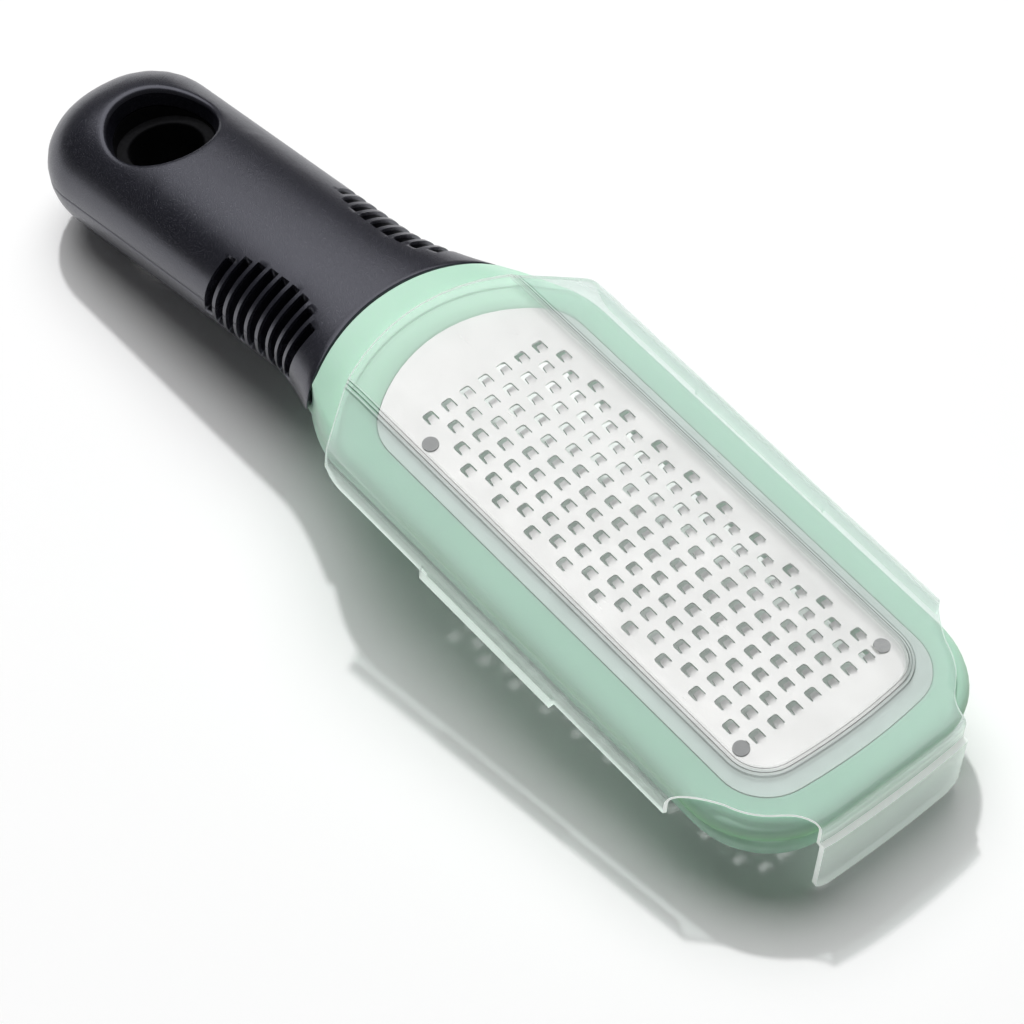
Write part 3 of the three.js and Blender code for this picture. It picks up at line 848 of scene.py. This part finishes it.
frameSet = {
    "form": {"halfWidth": 27.6, "tip": {"x": 58.8, "bow": 260.0, "corner": 17.0}},
    "counts": {"bow": 8, "corner": 14, "side": 26, "flare": 14, "heel": 14},
    # rim from the top edge down: inset from the outline, then a drop below the crown or a level
    "rim": (
        (3.2, "crown", 0.0), (1.9, "crown", -0.12), (0.95, "crown", -0.46), (0.34, "crown", -1.05),
        (0.04, "crown", -1.85), (0.08, "crown", -2.5), (0.5, "crown", -2.95), (1.6, "crown", -3.25),
        (2.5, "crown", -3.7), (2.8, "crown", -4.5), (2.8, "level", -8.2), (2.65, "level", -8.8),
        (2.3, "level", -9.2), (2.0, "level", -9.7), (2.0, "level", -10.9), (2.2, "level", -11.4),
        (2.7, "level", -11.6),
    ),
    "topShares": (0, 0.04, 0.2, 0.4, 0.6, 0.8, 0.93),  # from the plate out to the rim
    "underShares": (0.2, 0.45, 0.7, 0.94, 1.0),        # from the rim in to the window
    "fit": 0.12,
    "seatLip": 0.2,
    "seatDrop": 0.85,
    "seatWidth": 3.4,
    "windowLip": 0.4,
    "bottom": -11.6,
    "flareStart": (-40.0, 27.6),
    "flarePull": (-48.5, 27.6),
    "flareLean": (-52.5, 25.6),
    "neckShare": 0.975,  # the grip's lip stands proud of the neck
    "tangHalf": (9.0, 4.0),
    "tangLength": 34.0,
    "tangBury": 9.0,
    "pale": ((0.465, 0.72, 0.57), (0.505, 0.76, 0.61)),
    # a darker, shaded copy of the green, painted where shade falls round the rim and in the groove
    "deep": ((0.2, 0.52, 0.23), (0.25, 0.57, 0.29)),
    "mostShade": 0.75,
    # where the painted shade on the green starts and the length over which it comes in
    "deepSide": (21.0, 2.0),
    "shadeTip": (52.5, 2.0),
    "shadeDrop": (0.3, 1.9),
    "shadeLip": (-9.2, 1.2),
    "shadeNeck": (-44.0, 22.0),
    "sharp": 60,
}


# Painted shade: the green is mixed towards a darker, shaded copy round the rim and in the groove under it,
# where shade falls
def greenFinish():
    s = frameSet
    material, tree, shader = newMaterial("mintPlastic")
    cloud = objectNoise(tree, 45.0, 3.0)
    pale, deep = between(tree, cloud, s["pale"]), between(tree, cloud, s["deep"])
    # the depth attribute is the share of painted shade
    colour = blended(tree, pale, deep, attribute(tree, "depth"))
    grain = objectNoise(tree, 1600.0)
    paint(tree, shader, colour, spread(tree, grain, 0.32, 0.44))
    shader.inputs["Subsurface Weight"].default_value = 0.2
    shader.inputs["Subsurface Radius"].default_value = (0.6, 1.0, 0.6)
    shader.inputs["Subsurface Scale"].default_value = 0.0015
    bump(tree, shader, grain, 0.05, 0.00005)
    return material


def bezier(points, t):
    a, b, c, d = (Vector(p) for p in points)
    ab, bc, cd = a.lerp(b, t), b.lerp(c, t), c.lerp(d, t)
    return ab.lerp(bc, t).lerp(bc.lerp(cd, t), t)


# The neck's end face in head millimetres, at a share of the width and of the height
def neckEnd(acrossShare, heightShare):
    share = frameSet["neckShare"]
    y = acrossShare * share * (gripSet["halfWidth"] + gripSet["flare"])
    z = 0.0
    for _ in range(6):
        x = jointX(y, z)
        half = handleSizes(x, 0.0)[0] * 0.995  # just inside the girth
        top, bottom = (share * skinHeight(x, min(y, half), 0.0, side) for side in (1, -1))
        z = lerp(top, bottom, heightShare)
    return handleInHead @ Vector((x, y, z))


# Half of the plate's outline, split to match the frame's outline point by point
def innerHalf(inset):
    form, n = plateSet["form"], frameSet["counts"]
    tip = halfEnd(form["halfWidth"], form["tip"], inset, n["bow"], n["corner"])
    heel = list(reversed(halfEnd(form["halfWidth"], form["heel"], inset, n["heel"], n["flare"])))
    (ax, ay), (bx, by) = tip[-1], heel[0]
    side = [(lerp(ax, bx, i / n["side"]), lerp(ay, by, i / n["side"])) for i in range(1, n["side"])]
    return tip + side + heel


# Half of the frame's outline: points, inward normals, and how far each has turned into the neck
def outerHalf():
    s, n = frameSet, frameSet["counts"]
    form = s["form"]
    tip = [Vector(p) for p in halfEnd(form["halfWidth"], form["tip"], 0.0, n["bow"], n["corner"])]
    start = Vector(s["flareStart"])
    side = [tip[-1].lerp(start, i / n["side"]) for i in range(1, n["side"])]
    corner = neckEnd(1.0, 0.5)
    flare = [bezier((start, s["flarePull"], s["flareLean"], (corner.x, corner.y)), i / n["flare"])
             for i in range(n["flare"] + 1)]
    points = tip + side + flare
    weights = [0.0] * (len(tip) + len(side)) + [smooth(i / n["flare"]) for i in range(n["flare"] + 1)]
    normals = []
    for i, p in enumerate(points):
        before, after = points[max(i - 1, 0)], points[min(i + 1, len(points) - 1)]
        along = (after - before).normalized()
        normals.append(Vector((-along.y, along.x)) if i else Vector((-1, 0)))
    return points, normals, weights


# All rings of the frame, each a list of half points from tip to heel
def frameRings():
    s, n = frameSet, frameSet["counts"]
    points, normals, weights = outerHalf()
    sideRings = []
    for level, (inset, kind, height) in enumerate(s["rim"]):
        share = level / (len(s["rim"]) - 1)
        corner = neckEnd(1.0, share)
        ring = []
        for p, normal, w in zip(points, normals, weights):
            head = p + normal * inset
            z = height + (crown(head.y) if kind == "crown" else 0)
            plan = head.lerp(p, w)
            ring.append(Vector((plan.x, plan.y, lerp(z, corner.z, w))))
        ring += [neckEnd(1 - i / n["heel"], share) for i in range(1, n["heel"] + 1)]
        sideRings.append(ring)
    seat = innerHalf(-s["fit"])
    window = innerHalf(s["seatWidth"])
    top = []
    for t in s["topShares"]:
        ring = []
        for (x, y), edge in zip(seat, sideRings[0]):
            px, py = lerp(x, edge.x, t), lerp(y, edge.y, t)
            ring.append(Vector((px, py, crown(py) + (edge.z - crown(edge.y)) * t ** 2.2)))
        top.append(ring)
    for p in top[0]:
        p.z -= s["seatLip"]
    under = []
    for t in s["underShares"]:
        ring = []
        for (x, y), edge in zip(window, sideRings[-1]):
            z = lerp(edge.z, s["bottom"], smooth(t) if t < 0.9 else 1.0)
            ring.append(Vector((lerp(edge.x, x, t), lerp(edge.y, y, t), z)))
        under.append(ring)
    for p in under[-1]:
        p.z += s["windowLip"]
    wall = [[Vector((x, y, crown(y) - s["seatDrop"])) for x, y in half] for half in (window, seat)]
    return top + sideRings + under + wall


# Share of a band that a value has come into
def comesIn(value, band):
    start, length = band
    return smooth((value - start) / length)


# How much painted shade darkens the green at each point: most in the groove, fading towards the neck and
# the lower lip
def markPaintedShade(piece):
    s = frameSet
    # depth is the share of painted shade at each point
    depth = piece.data.attributes.new("depth", "FLOAT", "POINT").data
    for vert, mark in zip(piece.data.vertices, depth):
        p = headBack @ vert.co
        outside = max(comesIn(abs(p.y), s["deepSide"]), comesIn(p.x, s["shadeTip"]))
        below = comesIn(crown(p.y) - p.z, s["shadeDrop"])
        above = comesIn(p.z, s["shadeLip"])
        mark.value = s["mostShade"] * outside * below * above * comesIn(p.x, s["shadeNeck"])


def makeFrame(material):
    s = frameSet
    bm = bmesh.new()
    first, last = skinRings(bm, [mirrored([tuple(p) for p in half]) for half in frameRings()])
    bmesh.ops.bridge_loops(bm, edges=ringEdges(bm, first) + ringEdges(bm, last))
    # tang into the core, out of the neck's end face
    wide, high = s["tangHalf"]
    reach = s["tangLength"] + s["tangBury"]
    middle = Matrix.Translation((s["tangBury"] - reach / 2, 0, 0))
    block = middle @ Matrix.Diagonal((reach, 2 * wide, 2 * high, 1))
    bmesh.ops.create_cube(bm, size=1.0, matrix=handleInHead @ block)
    settle(bm, headPlace)
    piece = newObject("headFrame", bm, [material])
    markPaintedShade(piece)
    dress(piece, "grater", "head_frame", s["sharp"])


# Cover: a sheet of U-shaped rows from the ridge of its panel out to the skirt, then given its wall

coverSet = {
    "form": {"halfWidth": 30.4, "tip": {"x": 59.9, "bow": 261.0, "corner": 18.1}},
    "panel": {"halfWidth": 18.6, "tip": {"x": 48.8, "bow": 90.0, "corner": 7.4}},
    "panelInsets": (16.8, 13.0, 9.3, 5.6, 2.4),
    # rows of the step: inset from the panel's outline, share of the fall, and a painted mark from 1, a
    # painted highlight line, to 0, a painted shade line
    "step": (
        (1.0, 0.0, 0.5), (0.76, 0.03, 1.0), (0.56, 0.12, 0.05), (0.36, 0.3, 0.6), (0.2, 0.5, 1.0),
        (0.02, 0.62, 0.0), (-0.16, 0.75, 0.6), (-0.36, 0.9, 1.0), (-0.56, 0.97, 0.1), (-0.8, 1.0, 0.5),
    ),
    "wall": 0.6,
    "tabWall": 0.95,
    "thickest": 1.3,
    "lift": 1.1,
    "panelLift": 1.7,
    "foldRound": 1.5,
    "heelX": -58.4,
    "heelBow": 41.5,
    "heelRound": 4.0,
    "heelBand": 3.7,
    "heelDrop": 0.25,
    # levels of the skirt's rows along the sides and down the tab, and where both stand out by a ledge
    "sideLevels": (-3.9, -4.5, -4.65, -5.3, -5.9, -6.4),
    "tabLevels": (-2.5, -4.4, -4.55, -8.8, -13.2, -17.5),
    "ledge": (0, 0, 1, 1, 1, 1),
    "tabProud": 1.1,
    "tabHalf": 15.8,
    "tabBlend": (1.5, 4.0),  # how far past the tab, and over what length, the skirt turns into it
    "tabRound": 2.2,
    "barStart": 12.5,
    "barEnd": -19.9,
    "barProud": 0.7,
    "barDrop": 0.8,
    # cut tip corners: inset and turns of the arc, then the curve into it, from the corner's middle and the
    # frame's side, and the curve out of it, from the tip and the tab's side
    "cutInset": 2.6,
    "cutTurns": (72, 36),
    "cutEnter": ((-3.2, 4.3), (-2.8, 1.0), (1.2, -1.6)),
    "cutLeave": ((-5.2, 3.0), (-3.6, 0.2), (0.2, 0.0)),
    "cutFar": 12.0,
    "soften": 0.16,
    "softenFrom": 55,
    "sharp": 40,
    "counts": {"bow": 16, "corner": 14, "side": 34},
    "heelShares": (0.958, 0.972, 0.985, 0.993, 1.0),
    "barShares": (-0.006, -0.0016, 0.0016, 0.006),
    "barGap": 0.009,
    "milk": ((0.87, 0.92, 0.9), (0.92, 0.96, 0.94)),
    "glow": 0.34,  # painted glow: the wall emits light, standing in for light scattered in it
    "edge": ((0.86, 0.92, 0.88), (0.93, 0.97, 0.94)),
    "paintedEdgeGlow": 0.35,
    # haze of the top outside the panel, of the skirt and of the tab, and the veil and tint at each haze
    "haze": {"top": 0.4, "skirt": 0.75, "tab": 1.0},
    "veil": ((0.0, 0.0), (0.4, 0.12), (0.75, 0.17), (1.0, 0.38)),
    "tint": ((0.0, (1.0, 1.0, 1.0)), (0.4, (0.885, 0.925, 0.915)), (1.0, (0.97, 0.98, 0.975))),
}


# Clear sheet and a white veil mixed. The veil thickens where the wall is seen edge on, with the haze, and
# as painted highlight lines along the ridges of the step. The clear part darkens between those ridges as
# painted shade lines.
def coverFinish():
    s = coverSet
    material, tree, shader = newMaterial("milkyPlastic")
    cloud = objectNoise(tree, 60.0, 3.0)
    colour = between(tree, cloud, s["milk"])
    paint(tree, shader, colour, spread(tree, objectNoise(tree, 700.0), 0.14, 0.22))
    # painted glow: the milky colour is also emitted, though the cover is no lamp
    tree.links.new(colour, shader.inputs["Emission Color"])
    shader.inputs["Emission Strength"].default_value = s["glow"]
    glow = tree.nodes.new("ShaderNodeBsdfTranslucent")
    tree.links.new(colour, glow.inputs["Color"])
    milk = mixShaders(tree, spread(tree, cloud, 0.4, 0.6), shader.outputs["BSDF"], glow.outputs["BSDF"])
    haze, paintedStepLines = attribute(tree, "haze"), attribute(tree, "paintedStepLines")
    edge = tree.nodes.new("ShaderNodeLayerWeight")
    edge.inputs["Blend"].default_value = 0.4
    facing = edge.outputs["Facing"]
    veil = ramp(tree, haze, [(mark, (white, white, white)) for mark, white in s["veil"]])
    veil = added(tree, spread(tree, facing, 0.02, 0.4), veil)
    # painted highlight lines along the ridges of the step
    veil = added(tree, veil, spread(tree, paintedStepLines, -0.3, 0.3))
    clear = tree.nodes.new("ShaderNodeBsdfTransparent")
    # painted shade lines between the ridges of the step
    shade = ramp(tree, paintedStepLines, [(0.0, (0.45, 0.45, 0.45)), (0.5, (1.0, 1.0, 1.0))])
    tree.links.new(blended(tree, ramp(tree, haze, s["tint"]), shade), clear.inputs["Color"])
    sheet = mixShaders(tree, veil, clear.outputs["BSDF"], milk)
    gloss = tree.nodes.new("ShaderNodeBsdfGlossy")
    gloss.inputs["Roughness"].default_value = 0.12
    coated = mixShaders(tree, spread(tree, facing, 0.02, 0.1), sheet, gloss.outputs["BSDF"])
    tree.links.new(coated, tree.nodes["Material Output"].inputs["Surface"])
    return material


# Free edges of the cover, with a painted glow: they emit light, standing in for the light carried inside
# the wall coming out
def glowingEdgeFinish():
    material, tree, shader = newMaterial("milkyEdgePaintedGlow")
    grain = objectNoise(tree, 500.0)
    colour = between(tree, grain, coverSet["edge"])
    paint(tree, shader, colour, spread(tree, grain, 0.2, 0.32))
    # painted glow: the edge colour is emitted
    tree.links.new(colour, shader.inputs["Emission Color"])
    shader.inputs["Emission Strength"].default_value = coverSet["paintedEdgeGlow"]
    return material


def heelAt(y):
    s = coverSet
    return s["heelX"] + s["heelBow"] - math.sqrt(s["heelBow"] ** 2 - y * y)


# Shares of the straight side at which the rows have points, closer at the bar's ends and the heel
def coverShares():
    s = coverSet
    start, end = s["form"]["tip"]["x"] - s["form"]["tip"]["corner"], heelAt(s["form"]["halfWidth"])
    count = s["counts"]["side"]
    shares = [i / count for i in range(1, count - 1)] + list(s["heelShares"])
    for x in (s["barStart"], s["barEnd"]):
        mark = (start - x) / (start - end)
        shares = [t for t in shares if abs(t - mark) > s["barGap"]]
        shares += [mark + step for step in s["barShares"]]
    return sorted(shares)


# Half of a U-shaped row: from the middle of the tip round to the heel edge
def coverHalf(form, inset):
    n = coverSet["counts"]
    half = halfEnd(form["halfWidth"], form["tip"], inset, n["bow"], n["corner"])
    x, y = half[-1]
    return half + [(lerp(x, heelAt(y), t), y) for t in coverShares()]


# Point of the cover's top, over the crown and bent down a little along the heel
def onTop(x, y, height):
    s = coverSet
    bend = s["heelDrop"] * clamp(1 - (x - heelAt(y)) / s["heelBand"])
    return Vector((x, y, crown(y) + height - bend))


def topRow(form, inset, height):
    tip = {**form["tip"], "corner": max(form["tip"]["corner"], inset + 0.4)}
    return [onTop(x, y, height) for x, y in coverHalf({**form, "tip": tip}, inset)]


# One row of the skirt, below the fold: level counts down from it
def skirtRow(edge, level):
    s, n = coverSet, coverSet["counts"]
    last = level == len(s["ledge"]) - 1
    past, length = s["tabBlend"]
    row = []
    for i, p in enumerate(edge):
        tabness = 1 - smooth((abs(p.y) - s["tabHalf"] - past) / length)
        low = lerp(s["sideLevels"][-1], s["tabLevels"][-1], tabness)
        z = lerp(s["sideLevels"][level], s["tabLevels"][level], tabness)
        x, y = p.x + tabness * s["tabProud"] * s["ledge"][level], p.y
        into = abs(p.y) - s["tabHalf"] + s["tabRound"]
        if last and tabness > 0.5 and into > 0:
            z += s["tabRound"] - math.sqrt(max(0, s["tabRound"] ** 2 - min(into, s["tabRound"]) ** 2))
        if i > n["bow"] + n["corner"]:  # on the straight side
            nearHeel = heelAt(p.y) + s["heelRound"] - p.x
            if nearHeel > 0:
                rise = s["heelRound"] - math.sqrt(max(0, s["heelRound"] ** 2 - nearHeel ** 2))
                z = lerp(p.z, z, max(0.06, (low + rise - p.z) / (low - p.z)))  # the rows never meet
            if s["barEnd"] < p.x < s["barStart"]:
                y += s["barProud"] * s["ledge"][level]
                z -= s["barDrop"] * max(0, level - 2) / 3
        row.append(Vector((x, y, z)))
    return row


def coverRows():
    s = coverSet
    panel, form, fold = s["panel"], s["form"], s["foldRound"]
    rows = [topRow(panel, inset, s["panelLift"]) for inset in s["panelInsets"]]
    for inset, share, _ in s["step"]:
        rows.append(topRow(panel, inset, lerp(s["panelLift"], s["lift"], share)))
    stepRow, foldRow = rows[-1], coverHalf(form, fold)
    for t in (0.25, 0.5, 0.75, 1.0):
        row = [(lerp(p.x, x, t), lerp(p.y, y, t)) for p, (x, y) in zip(stepRow, foldRow)]
        rows.append([onTop(x, y, s["lift"]) for x, y in row])
    for turn in (22, 45, 68, 90):
        angle = math.radians(turn)
        fall = fold - fold * math.cos(angle)
        rows.append(topRow(form, fold - fold * math.sin(angle), s["lift"] - fall))
    edge = rows[-1]
    return rows + [skirtRow(edge, level) for level in range(len(s["ledge"]))]


# Cutter for one tip corner of the cover
def cornerCutter(side, materials):
    s, form = coverSet, frameSet["form"]
    tip, half = form["tip"], form["halfWidth"]
    corner = tip["corner"]
    cornerY = half - corner
    cornerX = tip["x"] - tip["bow"] + math.sqrt((tip["bow"] - corner) ** 2 - cornerY ** 2)
    start, end = (math.radians(turn) for turn in s["cutTurns"])
    arc = arcPoints(cornerX, cornerY, corner - s["cutInset"], start, end, 12)
    enter = [(cornerX + x, half + y) for x, y in s["cutEnter"]] + [arc[0]]
    leave = [arc[-1]] + [(tip["x"] + x, s["tabHalf"] + y) for x, y in s["cutLeave"]]
    plan = [bezier(enter, i / 8) for i in range(8)] + arc + [bezier(leave, i / 8) for i in range(1, 9)]
    farX, farY = tip["x"] + s["cutFar"], half + s["cutFar"]
    plan += [(farX, s["tabHalf"]), (farX, farY), (enter[0][0], farY)]
    bm = bmesh.new()
    ring = startRing(bm, [(x, side * y, -30) for x, y in plan])
    bottom = bmesh.ops.contextual_create(bm, geom=ring)["faces"]
    made = bmesh.ops.extrude_face_region(bm, geom=bottom)["geom"]
    upper = [item for item in made if isinstance(item, bmesh.types.BMVert)]
    bmesh.ops.translate(bm, vec=(0, 0, 50), verts=upper)
    for face in bm.faces:
        face.material_index = 1
    settle(bm, headPlace)
    return newObject("cutter", bm, materials)


# Wall thickness at a point of the sheet, as a share of the thickest
def wallShare(point):
    s = coverSet
    wall = s["wall"]
    if abs(point.y) < s["tabHalf"] + s["tabBlend"][0] and point.z < s["tabLevels"][1] - 0.05:
        wall = s["tabWall"]
    elif abs(point.y) > s["form"]["halfWidth"] + 0.1:
        wall += s["barProud"]
    return wall / s["thickest"]


# Haze of the sheet: none on the panel, a little on the top round it, more down the skirt, most on the tab
def hazeMark(p, inset):
    s, haze = coverSet, coverSet["haze"]
    fall = crown(p.y) + s["lift"] - s["wall"] - p.z
    top = haze["top"] * smooth(0.5 - inset)
    tab = 1 - smooth((abs(p.y) - s["tabHalf"]) / 3) if p.x > 40 else 0.0
    return lerp(top, lerp(haze["skirt"], haze["tab"], tab), smooth((fall - 0.6) / 1.4))


def markCover(piece):
    tip, half = coverSet["panel"]["tip"], coverSet["panel"]["halfWidth"]
    haze = piece.data.attributes.new("haze", "FLOAT", "POINT").data
    paintedStepLines = piece.data.attributes["paintedStepLines"].data
    for i, vert in enumerate(piece.data.vertices):
        p = headBack @ vert.co
        bowX = tip["x"] - tip["bow"] + math.sqrt(tip["bow"] ** 2 - min(abs(p.y), half) ** 2)
        across, along = half - abs(p.y), bowX - p.x
        corner = tip["corner"]
        inset = min(across, along)
        if across < corner and along < corner:
            inset = corner - math.hypot(corner - across, corner - along)
        haze[i].value = hazeMark(p, inset)
        if abs(inset) > 1.5:  # the cuts leave unmarked points
            paintedStepLines[i].value = 0.5


# The ledge over the tab, which gets the free edges' painted glow
def onLedge(p):
    s = coverSet
    nearTip = p.x > s["form"]["tip"]["x"] - 2
    return nearTip and abs(p.y) < s["tabHalf"] and abs(p.z - s["tabLevels"][1] - 0.1) < 0.5


def makeCover(materials):
    s = coverSet
    bm = bmesh.new()
    full = [[(p.x, -p.y, p.z) for p in reversed(row[1:])] + [tuple(p) for p in row] for row in coverRows()]
    stepLightMarks = bm.verts.layers.float.new("paintedStepLines")
    ridge = startRing(bm, full[0])
    bmesh.ops.delete(bm, geom=[bm.edges.get((ridge[-1], ridge[0]))], context="EDGES_FACES")
    rows = [ridge]
    for points in full[1:]:
        rows.append(growRing(bm, rows[-1], points, closed=False))
    for vert in bm.verts:
        vert[stepLightMarks] = 0.5
    # painted highlight and shade lines on the rows of the step
    for row, (_, _, mark) in zip(rows[len(s["panelInsets"]):], s["step"]):
        for vert in row:
            vert[stepLightMarks] = mark
    # close the panel along its ridge
    for i in range(len(ridge) // 2):
        a, b, c, d = ridge[i], ridge[i + 1], ridge[-2 - i], ridge[-1 - i]
        bmesh.ops.contextual_create(bm, geom=[a, b, d] if c is b else [a, b, c, d])
    bmesh.ops.remove_doubles(bm, verts=bm.verts, dist=1e-4)
    faceUp(bm)
    deform = bm.verts.layers.deform.verify()
    for vert in bm.verts:
        vert[deform][0] = wallShare(vert.co)
    bmesh.ops.transform(bm, matrix=headPlace, verts=bm.verts)
    piece = newObject("clearCover", bm, materials)
    piece.vertex_groups.new(name="wall")
    wall = addWall(piece, s["thickest"])
    wall.use_even_offset = True
    wall.vertex_group = "wall"
    wall.material_offset_rim = 1
    cutters = [cornerCutter(side, materials) for side in (1, -1)]
    for cutter in cutters:
        cut = piece.modifiers.new("corner", "BOOLEAN")
        cut.operation = "DIFFERENCE"
        cut.solver = "EXACT"
        cut.material_mode = "INDEX"
        cut.object = cutter
    soften = piece.modifiers.new("soften", "BEVEL")
    soften.width = s["soften"] * mm
    soften.segments = 2
    soften.limit_method = "ANGLE"
    soften.angle_limit = math.radians(s["softenFrom"])
    applyModifiers(piece)
    for cutter in cutters:
        bpy.data.objects.remove(cutter)
    piece.vertex_groups.clear()
    markCover(piece)
    for face in piece.data.polygons:
        # the ledge gets the painted glow of the free edges
        if onLedge(headBack @ face.center):
            face.material_index = 1
    dress(piece, "cover", "snap_cover", s["sharp"])


# Stage: floor, lights and the photograph's camera

cameraSet = {
    "place": (250.94, -281.29, 530.43),
    "aim": (-16.71, -14.21, 0.0),
    "roll": math.radians(5.12),
    "lens": 140.23,
    "sensor": 36.0,
}

stageSet = {"floorHalf": 3.0, "floorColour": (0.97, 0.97, 0.97, 1), "floorRoughness": 0.6, "world": 0.07}

# Lamps by compass bearing and height in degrees, with their distance and width in metres. The card is seen
# only in reflections, and the other two only light the surfaces.
lightSet = {
    "key": {"bearing": 147.0, "height": 52.0, "away": 4.4, "size": 0.22, "power": 99.0, "card": False},
    "softbox": {"bearing": 146.0, "height": 63.0, "away": 6.0, "size": 6.4, "power": 275.0, "card": False},
    "card": {"bearing": 146.0, "height": 66.0, "away": 1.5, "size": 2.0, "power": 12.1, "card": True},
}


def makeCamera():
    s = cameraSet
    place, aim = Vector(s["place"]), Vector(s["aim"])
    back = (place - aim).normalized()
    right = Vector((0, 0, 1)).cross(back).normalized()
    up = back.cross(right)
    turn = Matrix((right, up, back)).transposed() @ Matrix.Rotation(s["roll"], 3, "Z")
    data = bpy.data.cameras.new("photoCamera")
    data.sensor_width = s["sensor"]
    data.lens = s["lens"]
    data.clip_start = 0.01
    camera = linked("photoCamera", data)
    camera.matrix_world = (
        Matrix.Translation(headPlace @ place) @ Matrix.Rotation(tilt, 4, "Y") @ turn.to_4x4()
    )
    bpy.context.scene.camera = camera


def makeLight(name, bearing, height, away, size, power, card):
    turn, rise = math.radians(bearing), math.radians(height)
    way = Vector((math.cos(turn) * math.cos(rise), math.sin(turn) * math.cos(rise), math.sin(rise)))
    data = bpy.data.lights.new(name, "AREA")
    data.shape = "DISK"
    data.size = size
    data.energy = power
    lamp = linked(name, data)
    lamp.location = way * away
    lamp.rotation_euler = way.to_track_quat("Z", "Y").to_euler()
    lamp.visible_glossy = card
    lamp.visible_diffuse = not card
    lamp.visible_transmission = not card


def makeStage():
    s = stageSet
    material, _, shader = newMaterial("whiteFloor")
    shader.inputs["Base Color"].default_value = s["floorColour"]
    shader.inputs["Roughness"].default_value = s["floorRoughness"]
    bm = bmesh.new()
    bmesh.ops.create_grid(bm, x_segments=1, y_segments=1, size=s["floorHalf"])
    floor = newObject("floor", bm, [material])
    world = bpy.data.worlds.new("studio")
    world.use_nodes = True
    sky = world.node_tree.nodes["Background"]
    sky.inputs["Color"].default_value = (1, 1, 1, 1)
    sky.inputs["Strength"].default_value = s["world"]
    bpy.context.scene.world = world
    for name, lamp in lightSet.items():
        makeLight(name, **lamp)
    bpy.context.scene.view_settings.view_transform = "Standard"


makeCamera()
makeStage()
print("camera and stage ready")
makePlate([steelFinish(), pinFinish()])
makeFrame(greenFinish())
makeGrip([gripFinish(name, shine) for name, shine in gripSet["shine"].items()])
makeCore(coreFinish())
makeCover([coverFinish(), glowingEdgeFinish()])
print("pieces ready")
